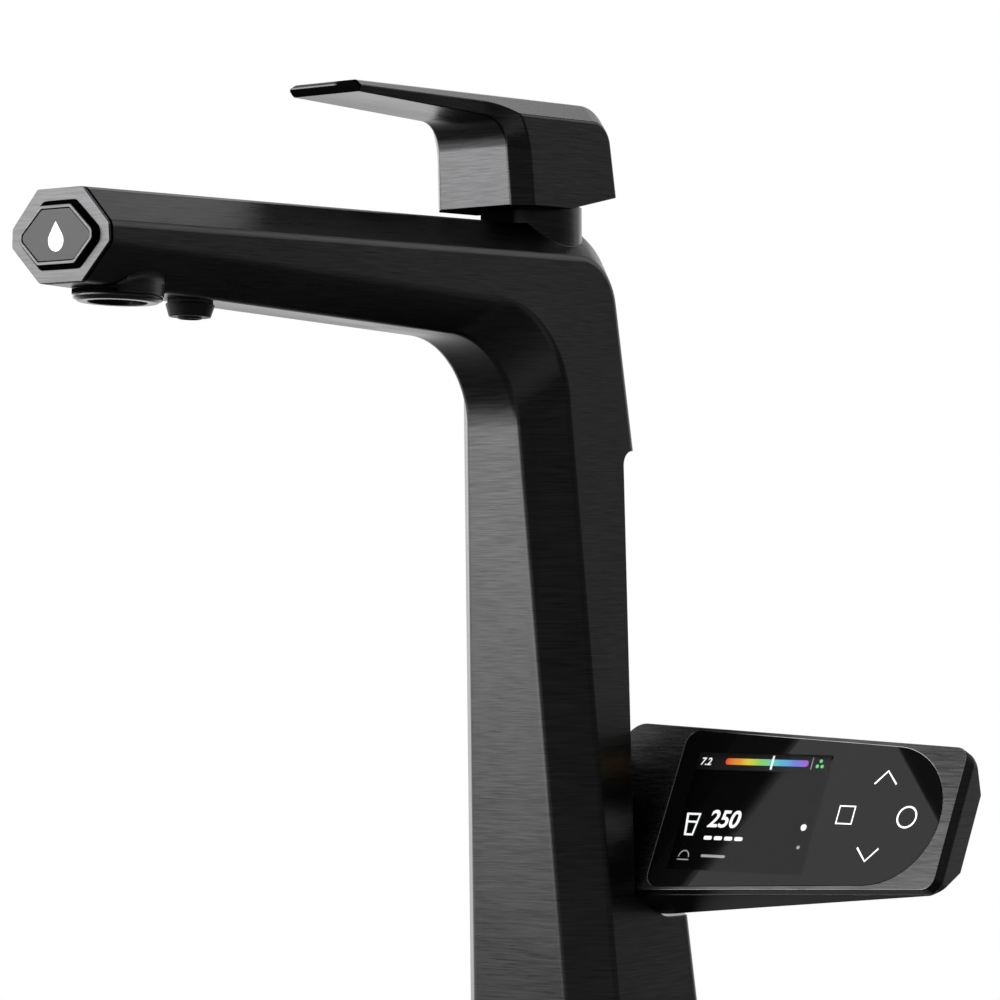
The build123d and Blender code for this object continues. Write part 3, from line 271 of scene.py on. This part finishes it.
# Brushed black metal: hair lines that run level round every wall, and along the length on flat tops
def brushedMetal(name, finish):
    paint = Paint(name)
    x, y, z = paint.place()
    along, across = finish["along"], finish["across"]
    facing = paint.split(paint.node("ShaderNodeTexCoord", output="Normal"))
    onFlat = paint.ease(facing[2].size(), *finish["flat"])
    wallLines = paint.noise(paint.vector(x * along, y * along, z * across), 1.0, *finish["hair"])
    flatLines = paint.noise(paint.vector(x * across, y * along, z * along), 1.0, *finish["hair"])
    lines = wallLines * (1.0 - onFlat) + flatLines * onFlat
    cloud = paint.noise(paint.vector(x, y, z), finish["cloud"], 2.0)
    share = finish["cloudShare"]
    tone = paint.ease(lines * (1.0 - share) + cloud * share, *finish["contrast"])
    # The finish's mask, where given, mixes in painted shade
    ink = finish["ink"](paint, x, y, z, facing) if "ink" in finish else None
    rough = finish["rough"] + (lines - 0.5) * finish["roughSpread"] + (cloud - 0.5) * finish["cloudSpread"]
    return paint.finish({
        "Base Color": paint.blend(tone, finish["dark"], finish["light"]),
        "Metallic": 1.0,
        "Roughness": rough,
        "Anisotropic": finish["stretch"],
        "Normal": paint.bump(lines, finish["depth"]),
    }, ink)


def satinPlastic(name, finish):
    paint = Paint(name)
    x, y, z = paint.place()
    where = paint.vector(x, y, z)
    grain = paint.noise(where, finish["grain"], 3.0)
    cloud = paint.noise(where, finish["cloud"], 2.0)
    dark = tuple(value * finish["shade"] for value in finish["colour"])
    return paint.finish({
        "Base Color": paint.blend(cloud, dark, finish["colour"]),
        "Roughness": finish["rough"] + (grain - 0.5) * finish["roughSpread"],
        "Specular IOR Level": finish["gloss"],
        "Normal": paint.bump(grain, finish["depth"]),
    })


def turnedMetal(name, finish):
    paint = Paint(name)
    x, y, z = paint.place()
    along, across = finish["along"], finish["across"]
    rings = paint.noise(paint.vector(x * along, y * along, z * across), 1.0, 3.0, 0.6)
    stain = paint.noise(paint.vector(x, y, z), finish["stain"], 3.0)
    share = finish["stainShare"]
    tone = paint.ease(rings * (1.0 - share) + stain * share, *finish["contrast"])
    dark = tuple(value * finish["shade"] for value in finish["colour"])
    return paint.finish({
        "Base Color": paint.blend(tone, dark, finish["colour"]),
        "Metallic": 1.0,
        "Roughness": finish["rough"] + (stain - 0.5) * finish["roughSpread"],
        "Normal": paint.bump(rings, finish["depth"]),
    })


def circuitBoard(name, finish):
    paint = Paint(name)
    x, y, z = paint.place()
    cells = paint.node("ShaderNodeTexBrick", {"offset": 0.5}, {
        "Vector": paint.vector(x, z, y), "Scale": finish["cells"], "Mortar Size": finish["gap"],
        "Color1": (1.0, 1.0, 1.0, 1.0), "Color2": (0.7, 0.7, 0.7, 1.0), "Mortar": (0.0, 0.0, 0.0, 1.0)})
    trace = tuple(value * finish["traceShare"] for value in finish["colour"])
    return paint.finish({
        "Base Color": paint.blend(cells, finish["colour"], trace),
        "Roughness": finish["rough"],
        "Coat Weight": finish["coat"],
        "Normal": paint.bump(cells, finish["depth"]),
    })


# Glass that is black from behind, apart from the display's window
def coverGlass(name, finish):
    paint = Paint(name)
    x, y, z = paint.place()
    tilt = math.radians(face["tilt"])
    fromY, fromZ = y / mm - face["origin"][1], z / mm - face["origin"][2]
    u = x / mm
    v = fromY * math.sin(tilt) + fromZ * math.cos(tilt)
    depth = fromY * math.cos(tilt) - fromZ * math.sin(tilt)
    edge = finish["edge"]
    wider = depth.above(finish["printDepth"]) * finish["wider"]
    left, low, right, high = finish["window"]
    inside = paint.ease(u + wider, left, left + edge) * paint.ease(u - wider, right, right - edge)
    inside = inside * paint.ease(v + wider, low, low + edge) * paint.ease(v - wider, high, high - edge)
    smudge = paint.noise(paint.vector(x, y, z), finish["smudge"], 3.0)
    return paint.finish({
        "Base Color": finish["ink"],
        "Roughness": finish["rough"] + smudge * finish["roughSpread"],
        "IOR": finish["bend"],
        "Alpha": 1.0 - inside * (1.0 - finish["cover"]),
    })


def displayPanel(name, finish):
    paint = Paint(name)
    x, y, z = paint.place()
    haze = paint.noise(paint.vector(x, y, z), finish["haze"], 1.0)
    brighter = tuple(finish["uneven"] * value for value in finish["glow"])
    return paint.finish({
        "Base Color": finish["colour"],
        "Roughness": finish["rough"] + haze * finish["roughSpread"],
        "IOR": finish["bend"],
        "Emission Color": paint.blend(haze, finish["glow"], brighter),
        "Emission Strength": 1.0,
    })


def litMark(name, finish):
    paint = Paint(name)
    x, y, z = paint.place()
    shimmer = paint.noise(paint.vector(x, y, z), markFinish["shimmer"], 1.0)
    dim = tuple(markFinish["uneven"] * value for value in finish["glow"])
    return paint.finish({
        "Base Color": finish["colour"],
        "Roughness": markFinish["rough"],
        "Emission Color": paint.blend(shimmer, dim, finish["glow"]),
        "Emission Strength": finish["strength"],
    })


# The pod's tilted face, with u along the pod and v up its face, both in millimetres; depth counts
# from the glass's front, and marks under the glass slide with it, so that the picture's angle
# shows them at their u and v
face = {"origin": (0.0, -14.4, 97.0), "tilt": 26.0, "slide": (-0.95, 0.5)}

metalFinish = {
    "dark": (0.052, 0.052, 0.053), "light": (0.088, 0.088, 0.09), "contrast": (0.25, 0.75),
    "along": 90.0, "across": 2600.0, "hair": (2.5, 0.6), "flat": (0.8, 0.97),
    "cloud": 35.0, "cloudShare": 0.15, "cloudSpread": 0.05,
    "rough": 0.3, "roughSpread": 0.14, "stretch": 0.35, "depth": 0.000012,
}
podMetal = {
    **metalFinish, "dark": (0.13, 0.13, 0.132), "light": (0.21, 0.21, 0.212), "across": 2200.0, "rough": 0.28,
}
podShell = {**metalFinish, "dark": (0.08, 0.08, 0.081), "light": (0.13, 0.13, 0.131), "rough": 0.34}
# The rail's metal is darkened as painted shade, so that its reflection in the pod frame falls dark
railMetalPaintedShade = {**metalFinish, "dark": (0.01, 0.01, 0.01), "light": (0.02, 0.02, 0.02), "rough": 0.36}
plastic = {
    "grain": 2200.0, "cloud": 60.0, "shade": 0.85, "roughSpread": 0.12, "gloss": 0.5, "depth": 0.00002,
}
turned = {
    "along": 60.0, "across": 3000.0, "stain": 90.0, "stainShare": 0.4, "contrast": (0.3, 0.7), "shade": 0.72,
    "roughSpread": 0.15, "depth": 0.00001,
}
boardFinish = {
    "colour": (0.012, 0.075, 0.035), "cells": 260.0, "gap": 0.06, "traceShare": 2.2, "rough": 0.38, "coat": 0.4,
    "depth": 0.00003,
}
glassFinish = {
    "ink": (0.004, 0.004, 0.0045), "cover": 0.12, "window": (38.7, 9.9, 92.4, 51.0), "edge": 0.4,
    "printDepth": 0.8, "wider": 3.5, "smudge": 70.0, "rough": 0.02, "roughSpread": 0.03, "bend": 1.52,
}
screenFinish = {
    "colour": (0.002, 0.002, 0.0022), "glow": (0.0004, 0.0004, 0.0005), "uneven": 1.25, "haze": 40.0,
    "rough": 0.03, "roughSpread": 0.03, "bend": 1.52,
}
markFinish = {"shimmer": 400.0, "uneven": 0.94, "rough": 0.4}
finishes = {
    # The metal finishes below carry the painted shade masks above
    "body_metal": (brushedMetal, {**metalFinish, "ink": paintedShadeOnBody}),
    "frame_metal": (brushedMetal, {**metalFinish, "ink": paintedShadeOnPlate}),
    "lever_metal": (brushedMetal, {**metalFinish, "rough": 0.28, "ink": paintedShadeOnLever}),
    "pod_metal": (brushedMetal, {**podMetal, "ink": paintedShadeOnPod}),
    "rail_metal": (brushedMetal, railMetalPaintedShade),
    "trim_black": (satinPlastic, {**plastic, "colour": (0.012, 0.012, 0.013), "rough": 0.5}),
    "button_shell": (brushedMetal, {**metalFinish, "rough": 0.26, "roughSpread": 0.08, "ink": paintedShadeOnRim}),
    "button_face": (satinPlastic, {**plastic, "colour": (0.09, 0.09, 0.092), "rough": 0.5, "gloss": 0.3}),
    "lit_white": (litMark, {"colour": (0.9, 0.9, 0.9), "glow": (1.0, 1.0, 1.0), "strength": 1.3}),
    "switch_plastic": (satinPlastic, {**plastic, "colour": (0.06, 0.06, 0.06), "rough": 0.5}),
    "circuit_board": (circuitBoard, boardFinish),
    "steel": (turnedMetal, {**turned, "colour": (0.6, 0.6, 0.61), "rough": 0.3}),
    "seal_rubber": (satinPlastic, {
        **plastic, "colour": (0.02, 0.02, 0.02), "rough": 0.75, "grain": 900.0, "depth": 0.00005}),
    "outlet_metal": (turnedMetal, {**turned, "colour": (0.075, 0.075, 0.077), "rough": 0.26}),
    "outlet_plastic": (satinPlastic, {**plastic, "colour": (0.004, 0.004, 0.0042), "rough": 0.4, "gloss": 0.2}),
    "tube_metal": (turnedMetal, {**turned, "colour": (0.62, 0.6, 0.57), "rough": 0.25}),
    "tube_plastic": (satinPlastic, {**plastic, "colour": (0.75, 0.76, 0.77), "rough": 0.35}),
    "ceramic": (satinPlastic, {**plastic, "colour": (0.8, 0.79, 0.76), "rough": 0.15}),
    "cartridge_plastic": (satinPlastic, {**plastic, "colour": (0.55, 0.56, 0.57), "rough": 0.45}),
    "brass": (turnedMetal, {**turned, "colour": (0.72, 0.5, 0.2), "rough": 0.28}),
    "bush_plastic": (satinPlastic, {**plastic, "colour": (0.7, 0.7, 0.66), "rough": 0.4}),
    "shoe_plastic": (satinPlastic, {**plastic, "colour": (0.022, 0.022, 0.023), "rough": 0.45}),
    "cover_glass": (coverGlass, glassFinish),
    "pod_plastic": (brushedMetal, podShell),
    "screen": (displayPanel, screenFinish),
}
palette = {name: make(name + "_finish", finish) for name, (make, finish) in finishes.items()}
for node in nodes.values():
    for slot in node.material_slots:
        slot.material = palette[slot.material.name.split(".")[0]]
print("finishes made:", len(palette))


# Points closer than this, in metres, are one point
weld = {"cad": 0.000002, "drawn": 0.0000005}


def deselectAll():
    if bpy.context.object and bpy.context.object.mode != "OBJECT":
        bpy.ops.object.mode_set(mode="OBJECT")
    bpy.ops.object.select_all(action="DESELECT")


def selectOnly(piece):
    deselectAll()
    piece.select_set(True)
    bpy.context.view_layer.objects.active = piece


def applyModifiers(piece):
    selectOnly(piece)
    for modifier in list(piece.modifiers):
        bpy.ops.object.modifier_apply(modifier=modifier.name)


# Machined parts: the CAD piece's own form, merged, with wide bevels on its creases and fine ones
# on its square edges
def edgeTurns(mesh):
    sides = {}
    for face in mesh.polygons:
        for key in face.edge_keys:
            sides.setdefault(key, []).append(face.normal)
    return {key: math.degrees(pair[0].angle(pair[1], 0.0)) for key, pair in sides.items() if len(pair) == 2}


def weighEdges(mesh, edge):
    turns = edgeTurns(mesh)
    weights = mesh.attributes.new("bevel_weight_edge", "FLOAT", "EDGE")
    widest = max(edge["crease"], edge["square"])
    neck = edge["neck"]
    for line in mesh.edges:
        turn = turns.get(tuple(sorted(line.vertices)), 0.0)
        if turn > edge["least"]:
            width = edge["crease"] if turn < edge["turn"] else edge["square"]
            first, last = (mesh.vertices[index].co for index in line.vertices)
            middle = (first + last) / (2.0 * mm)
            fromNeck = math.hypot(middle.x, middle.y - neck["y"])
            if middle.z > neck["low"] and fromNeck < neck["radius"]:
                width = neck["width"]
            weights.data[line.index].value = width / widest
    return widest


def copied(node, name):
    piece = nodes[node].copy()
    piece.data = nodes[node].data.copy()
    piece.parent = None
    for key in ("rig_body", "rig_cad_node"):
        if key in piece:
            del piece[key]
    bpy.context.scene.collection.objects.link(piece)
    piece.name = name
    selectOnly(piece)
    if piece.data.has_custom_normals:
        bpy.ops.mesh.customdata_custom_splitnormals_clear()
    bpy.ops.object.mode_set(mode="EDIT")
    bpy.ops.mesh.select_all(action="SELECT")
    bpy.ops.mesh.remove_doubles(threshold=weld["cad"])
    bpy.ops.object.mode_set(mode="OBJECT")
    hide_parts(node)
    return piece


def softEdged(node, body, edge):
    piece = copied(node, "soft_" + node)
    bpy.ops.object.mode_set(mode="EDIT")
    bpy.ops.mesh.select_all(action="SELECT")
    bpy.ops.mesh.dissolve_limited(angle_limit=math.radians(edge["flat"]))
    bpy.ops.object.mode_set(mode="OBJECT")
    bpy.ops.object.shade_smooth_by_angle(angle=math.radians(edge["smooth"]))
    bevel = piece.modifiers.new("edge", "BEVEL")
    bevel.width = weighEdges(piece.data, edge) * mm
    bevel.segments = edge["segments"]
    bevel.limit_method = "WEIGHT"
    bevel.use_clamp_overlap = False
    evened = piece.modifiers.new("evened", "WEIGHTED_NORMAL")
    evened.keep_sharp = True
    applyModifiers(piece)
    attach(piece, body)
    print("softened", node, len(piece.data.polygons), "faces")
    return piece


edge = {
    "crease": 1.2, "square": 0.35, "segments": 3, "least": 24.0, "turn": 60.0, "flat": 0.3, "smooth": 35.0,
    "neck": {"low": 300.0, "y": -28.9, "radius": 17.2, "width": 0.2},
}
fine = {**edge, "crease": 0.3, "square": 0.25, "neck": {**edge["neck"], "low": 1000.0}}
softEdged("faucet_body", "faucet", edge)
softEdged("spout_end_frame", "faucet", {**fine, "crease": 1.2, "turn": 75.0})
softEdged("lever_handle", "lever", {**edge, "crease": 0.5, "neck": fine["neck"]})
softEdged("button_rim", "button", {**fine, "square": 0.15})
softEdged("pod_frame", "display_pod", fine)
softEdged("pod_rear_housing", "display_pod", {**edge, "crease": 0.4})
softEdged("aerator_collar", "faucet", fine)
softEdged("treated_water_nozzle", "faucet", fine)
softEdged("base_ring", "deck_mount", edge)


# Trim ring: its bore is opened a little, so that the tilted stem clears it
trimRing = {"middle": (0.0, -28.9, 0.0), "bore": 11.1, "open": 0.5}


def openedRing(size):
    ring = copied("neck_trim_ring", "opened_trim_ring")
    middle = Vector(size["middle"]) * mm
    bpy.ops.object.mode_set(mode="EDIT")
    bpy.ops.mesh.select_all(action="DESELECT")
    bpy.ops.object.mode_set(mode="OBJECT")
    for vertex in ring.data.vertices:
        vertex.select = (vertex.co.xy - middle.xy).length < (size["bore"] + size["open"]) * mm
    share = 1.0 + size["open"] / size["bore"]
    bpy.ops.object.mode_set(mode="EDIT")
    bpy.ops.transform.resize(value=(share, share, 1.0), center_override=middle)
    bpy.ops.object.mode_set(mode="OBJECT")
    bpy.ops.object.shade_smooth_by_angle(angle=math.radians(edge["smooth"]))
    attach(ring, "faucet")


def givingSpring():
    spring = copied("button_spring", "giving_button_spring")
    bpy.ops.object.shade_smooth_by_angle(angle=math.radians(edge["smooth"]))
    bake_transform(spring)


openedRing(trimRing)
givingSpring()


# Display: plain marks behind the glass and touch marks on it, drawn on the pod's tilted face
def facePlace(depth):
    tilt = math.radians(face["tilt"])
    up = Vector((0.0, math.sin(tilt), math.cos(tilt)))
    out = Vector((0.0, -math.cos(tilt), math.sin(tilt)))
    turn = Matrix((Vector((1.0, 0.0, 0.0)), up, out)).transposed().to_4x4()
    slid = Matrix.Translation((face["slide"][0] * depth, face["slide"][1] * depth, 0.0))
    return Matrix.Translation((Vector(face["origin"]) - out * depth) * mm) @ turn @ Matrix.Scale(mm, 4) @ slid


def ring(u, v, radius, count=40):
    turns = [2.0 * math.pi * step / count for step in range(count)]
    return [(u + radius * math.cos(turn), v + radius * math.sin(turn)) for turn in turns]


def slab(left, low, right, high, corner=0.0):
    if not corner:
        return [(left, low), (right, low), (right, high), (left, high)]
    points = []
    nearLeft, nearRight, nearLow, nearHigh = left + corner, right - corner, low + corner, high - corner
    spots = ((nearRight, nearHigh), (nearLeft, nearHigh), (nearLeft, nearLow), (nearRight, nearLow))
    for quarter, (u, v) in enumerate(spots):
        for step in range(7):
            turn = math.pi * (quarter / 2.0 + step / 12.0)
            points.append((u + corner * math.cos(turn), v + corner * math.sin(turn)))
    return points


def placed(piece, depth):
    selectOnly(piece)
    bpy.ops.object.convert(target="MESH")
    piece.matrix_world = facePlace(depth)
    bpy.ops.object.transform_apply(location=True, rotation=True, scale=True)
    return piece


def filled(outlines, depth, height):
    shape = bpy.data.curves.new("outline", "CURVE")
    shape.dimensions = "2D"
    shape.fill_mode = "BOTH"
    shape.extrude = height / 2.0
    for outline in outlines:
        spline = shape.splines.new("POLY")
        spline.points.add(len(outline) - 1)
        for point, (u, v) in zip(spline.points, outline):
            point.co = (u, v, 0.0, 1.0)
        spline.use_cyclic_u = True
    piece = bpy.data.objects.new("outline", shape)
    bpy.context.scene.collection.objects.link(piece)
    return placed(piece, depth)


def stroke(points, width, closed, depth, height):
    shape = bpy.data.curves.new("stroke", "CURVE")
    shape.dimensions = "3D"
    shape.bevel_depth = width / 2.0
    shape.bevel_resolution = 2
    shape.use_fill_caps = True
    spline = shape.splines.new("POLY")
    spline.points.add(len(points) - 1)
    for point, (u, v) in zip(spline.points, points):
        point.co = (u, v, 0.0, 1.0)
    spline.use_cyclic_u = closed
    piece = bpy.data.objects.new("stroke", shape)
    bpy.context.scene.collection.objects.link(piece)
    selectOnly(piece)
    bpy.ops.object.convert(target="MESH")
    piece.scale = (1.0, 1.0, height / width)
    bpy.ops.object.transform_apply(location=False, rotation=False, scale=True)
    return placed(piece, depth)


lettering = {"lean": 0.15, "bolder": 0.02}


def figures(body, left, low, size, depth, height):
    deselectAll()
    bpy.ops.object.text_add()
    piece = bpy.context.object
    piece.data.body = body
    piece.data.size = size
    piece.data.shear = lettering["lean"]
    piece.data.extrude = height / 2.0
    piece.data.offset = lettering["bolder"] * size
    selectOnly(piece)
    bpy.ops.object.convert(target="MESH")
    piece.location = (left, low, 0.0)
    bpy.ops.object.transform_apply(location=True, rotation=True, scale=True)
    return placed(piece, depth)


def joined(name, parts, finish):
    deselectAll()
    for part in parts:
        part.select_set(True)
    bpy.context.view_layer.objects.active = parts[0]
    if len(parts) > 1:
        bpy.ops.object.join()
    piece = bpy.context.object
    piece.name = name
    selectOnly(piece)
    bpy.ops.object.mode_set(mode="EDIT")
    bpy.ops.mesh.select_all(action="SELECT")
    bpy.ops.mesh.remove_doubles(threshold=weld["drawn"])
    bpy.ops.mesh.normals_make_consistent(inside=False)
    bpy.ops.object.mode_set(mode="OBJECT")
    piece.data.materials.clear()
    piece.data.materials.append(finish)
    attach(piece, "display_pod")
    print("drawn", name, len(piece.data.polygons), "faces")
    return piece


# A strip that runs through the colours from left to right
def colourStrip(name, finish):
    paint = Paint(name)
    x, y, z = paint.place()
    slid = finish["left"] + face["slide"][0] * shown["depth"]
    share = (x / mm - slid) * (1.0 / (finish["right"] - finish["left"]))
    colour = finish["stops"][0]
    count = len(finish["stops"]) - 1
    for index, stop in enumerate(finish["stops"][1:]):
        colour = paint.blend(paint.ease(share, index / count, (index + 1) / count), colour, stop)
    return paint.finish({
        "Base Color": finish["base"],
        "Roughness": markFinish["rough"],
        "Emission Color": colour,
        "Emission Strength": 1.0,
    })


shown = {"depth": 1.7, "height": 0.02}
touched = {"depth": 0.0, "height": 0.04}
bar = {
    "left": 50.5, "right": 83.5, "low": 46.5, "high": 48.7, "corner": 1.0, "base": (0.02, 0.02, 0.02),
    "stops": [
        (0.9, 0.1, 0.03), (0.95, 0.35, 0.03), (0.9, 0.75, 0.05), (0.3, 0.8, 0.15), (0.15, 0.75, 0.6),
        (0.12, 0.5, 0.9), (0.2, 0.25, 0.85), (0.45, 0.12, 0.75)],
}
marks = {
    "display_white": {"colour": (0.8, 0.8, 0.8), "glow": (1.0, 1.0, 1.0), "strength": 0.95},
    "display_grey": {"colour": (0.3, 0.3, 0.3), "glow": (0.3, 0.3, 0.3), "strength": 1.0},
    "display_green": {"colour": (0.1, 0.4, 0.15), "glow": (0.16, 0.62, 0.2), "strength": 1.0},
    "display_strip": {"colour": (0.004, 0.004, 0.004), "glow": (0.004, 0.004, 0.0042), "strength": 1.0},
    "touch_white": {"colour": (0.8, 0.8, 0.8), "glow": (1.0, 1.0, 1.0), "strength": 0.9},
}
printed, faint, green, strip, touch = (litMark(name, mark) for name, mark in marks.items())
fineLine, touchLine = 0.4, 0.62

joined("display_strip", [filled([slab(38.8, 44.6, 91.8, 50.6)], 1.765, 0.01)], strip)
joined("display_scale", [
    filled([slab(bar["left"], bar["low"], bar["right"], bar["high"], bar["corner"])], **shown),
], colourStrip("display_colours", bar))
joined("display_readings", [
    figures("7.2", 40.4, 46.2, 3.6, **shown),
    stroke([(69.2, 45.2), (69.2, 50.0)], 0.8, False, 1.68, 0.02),
    figures("250", 50.2, 24.9, 8.2, **shown),
    *[filled([slab(50.4 + 4.1 * step, 20.4, 53.6 + 4.1 * step, 21.7, 0.5)], **shown) for step in range(4)],
    filled([
        [(42.1, 21.6), (45.7, 21.6), (46.7, 29.4), (40.9, 29.4)],
        [(42.8, 22.3), (45.1, 22.3), (45.6, 26.0), (42.3, 26.0)],
        [(42.2, 26.7), (45.7, 26.7), (46.0, 28.7), (41.9, 28.7)],
    ], **shown),
    filled([ring(88.5, 25.9, 1.1)], **shown),
], printed)
halfTurn = [math.pi * step / 12 for step in range(13)]
dome = [(44.4 + 2.0 * math.cos(turn), 14.2 + 2.2 * math.sin(turn)) for turn in halfTurn]
joined("display_notes", [
    stroke([(84.9, 45.6), (84.9, 49.8)], 0.3, False, **shown),
    filled([slab(51.3, 14.4, 60.9, 15.3, 0.4)], **shown),
    stroke(dome, fineLine, False, **shown),
    stroke([(42.1, 13.3), (46.7, 13.3)], fineLine, False, **shown),
    filled([ring(88.5, 19.1, 0.6)], **shown),
], faint)
joined("display_dots", [
    filled([ring(u, v, 0.62, 24)], **shown) for u, v in ((88.2, 48.6), (87.2, 46.8), (89.1, 46.8))
], green)
joined("touch_marks", [
    stroke([(110.8, 41.6), (114.8, 46.1), (119.1, 41.7)], touchLine, False, **touched),
    stroke([(110.8, 20.1), (114.9, 15.7), (118.9, 20.1)], touchLine, False, **touched),
    stroke([(100.1, 27.9), (106.0, 27.9), (106.0, 33.8), (100.1, 33.8)], touchLine, True, **touched),
    stroke(ring(126.3, 30.9, 3.45, 48), touchLine, True, **touched),
], touch)


# Studio: a paper floor that melts into the white behind it. In mirrors it is dark, with a few
# soft patches (direction across the floor, where the patch starts and is full, and its light)
def floorPaint(name, finish):
    paint = Paint(name)
    x, y, z = paint.place()
    speck = paint.noise(paint.vector(x, y, z), finish["speck"], 2.0)
    seen = paint.node("ShaderNodeLightPath", output="Is Camera Ray")
    mirrored = paint.node("ShaderNodeLightPath", output="Is Glossy Ray").most(
        paint.node("ShaderNodeLightPath", output="Is Transmission Ray"))
    paper = paint.blend(speck, finish["colour"], tuple(finish["shade"] * value for value in finish["colour"]))
    plain = paint.node("ShaderNodeBsdfDiffuse", None, {"Color": paper})
    far = paint.ease(paint.reach(x, y), finish["near"], finish["far"], finish["share"], 1.0)
    patches = finish["mirrored"]
    for kx, ky, low, high, light in finish["patches"]:
        patches = paint.ease(x * kx + y * ky, low, high, 0.0, light) + patches
    strength = seen + mirrored * patches
    glow = paint.node("ShaderNodeEmission", None, {"Color": (1.0, 1.0, 1.0, 1.0), "Strength": strength})
    both = paint.node("ShaderNodeMixShader", None, (seen * far + mirrored, plain, glow))
    paint.node("ShaderNodeOutputMaterial", None, {"Surface": both})
    return paint.material


floor = {
    "size": 2.6, "drop": 0.0005, "colour": (0.9, 0.9, 0.9), "speck": 30.0, "shade": 0.99,
    "near": 0.3, "far": 1.2, "share": 0.55, "mirrored": 0.08,
    "patches": [
        (-0.66, 0.75, 0.05, 0.9, 0.95), (-0.65, -0.76, 0.75, 1.3, 1.4),
        (0.88, -0.47, 0.4, 0.75, 0.3), (0.88, -0.47, 0.85, 1.1, -0.34),
    ],
}


def addFloor(floor):
    deselectAll()
    low = cadBox[0].z - floor["drop"]
    bpy.ops.mesh.primitive_plane_add(size=floor["size"], location=(0.0, 0.0, low))
    ground = bpy.context.object
    ground.name = "floor"
    bpy.ops.object.transform_apply(location=True, rotation=True, scale=True)
    ground.data.materials.append(floorPaint("floor_paper", floor))


def addSoftbox(name, box):
    lamp = bpy.data.objects.new(name, bpy.data.lights.new(name, "AREA"))
    bpy.context.scene.collection.objects.link(lamp)
    lamp.data.shape = "RECTANGLE"
    lamp.data.size, lamp.data.size_y = box["size"]
    lamp.data.energy = box["radiance"] * math.pi * box["size"][0] * box["size"][1]
    lamp.location = box["place"]
    lamp.visible_camera = False
    aim = Vector(box["aim"]) - Vector(box["place"])
    lamp.rotation_euler = aim.to_track_quat("-Z", "Y").to_euler()


# The sky is white to the camera and dark in mirrors, apart from soft lobes of light; a step gives a
# lobe an end in height, from the share it keeps there to the whole
def paintWorld(sky):
    world = bpy.data.worlds.new("studio")
    bpy.context.scene.world = world
    paint = Paint("studio", world)
    x, y, z = paint.split(paint.node("ShaderNodeTexCoord", output="Generated"))
    glow = paint.ease(z, *sky["horizon"], *sky["dark"])
    for lobe in sky["lobes"]:
        kx, ky, kz = Vector(lobe["toward"]).normalized()
        patch = paint.ease(x * kx + y * ky + z * kz, lobe["low"], lobe["high"], 0.0, lobe["light"])
        for low, high, share in lobe.get("steps", ()):
            patch = patch * paint.ease(z, low, high, share, 1.0)
        glow = patch + glow
    path = paint.node("ShaderNodeLightPath", output="Is Camera Ray")
    strength = glow * (1.0 - path) + path
    shade = paint.node("ShaderNodeBackground", None, {"Color": (1.0, 1.0, 1.0, 1.0), "Strength": strength})
    paint.node("ShaderNodeOutputWorld", None, {"Surface": shade})


sky = {
    "dark": (0.05, 0.11), "horizon": (-0.1, 0.1),
    "lobes": [
        {"toward": (-0.65, -0.6, 0.45), "low": 0.2, "high": 0.7, "light": 0.72, "steps": [(-0.1, 0.1, 0.0)]},
        {"toward": (-0.68, -0.72, 0.15), "low": 0.87, "high": 0.94, "light": 5.2,
         "steps": [(-0.2, -0.16, 0.0), (-0.06, 0.0, 0.28), (0.45, 0.3, 0.0)]},
        {"toward": (-0.12, -0.99, -0.03), "low": 0.975, "high": 0.99, "light": 4.0,
         "steps": [(-0.25, -0.2, 0.0), (0.13, 0.08, 0.0)]},
        {"toward": (-0.68, 0.73, -0.13), "low": 0.6, "high": 0.95, "light": 1.0},
        {"toward": (0.1, 1.0, 0.0), "low": 0.82, "high": 1.0, "light": 0.6},
        {"toward": (0.66, 0.75, 0.0), "low": 0.85, "high": 1.0, "light": 0.06},
        {"toward": (0.4, 0.77, 0.49), "low": 0.95, "high": 0.99, "light": 1.0},
        {"toward": (-1.0, 0.0, 0.0), "low": 0.7, "high": 0.95, "light": 0.65},
    ],
}
softboxes = {
    "top": {"place": (-0.1, 0.1, 1.9), "aim": (0.0, -0.05, 0.2), "size": (1.2, 1.2), "radiance": 1.3},
    "back": {"place": (-0.35, 0.8, 1.1), "aim": (0.0, -0.05, 0.3), "size": (0.5, 0.5), "radiance": 1.4},
}
addFloor(floor)
paintWorld(sky)
for name, box in softboxes.items():
    addSoftbox(name, box)
print("studio lit")
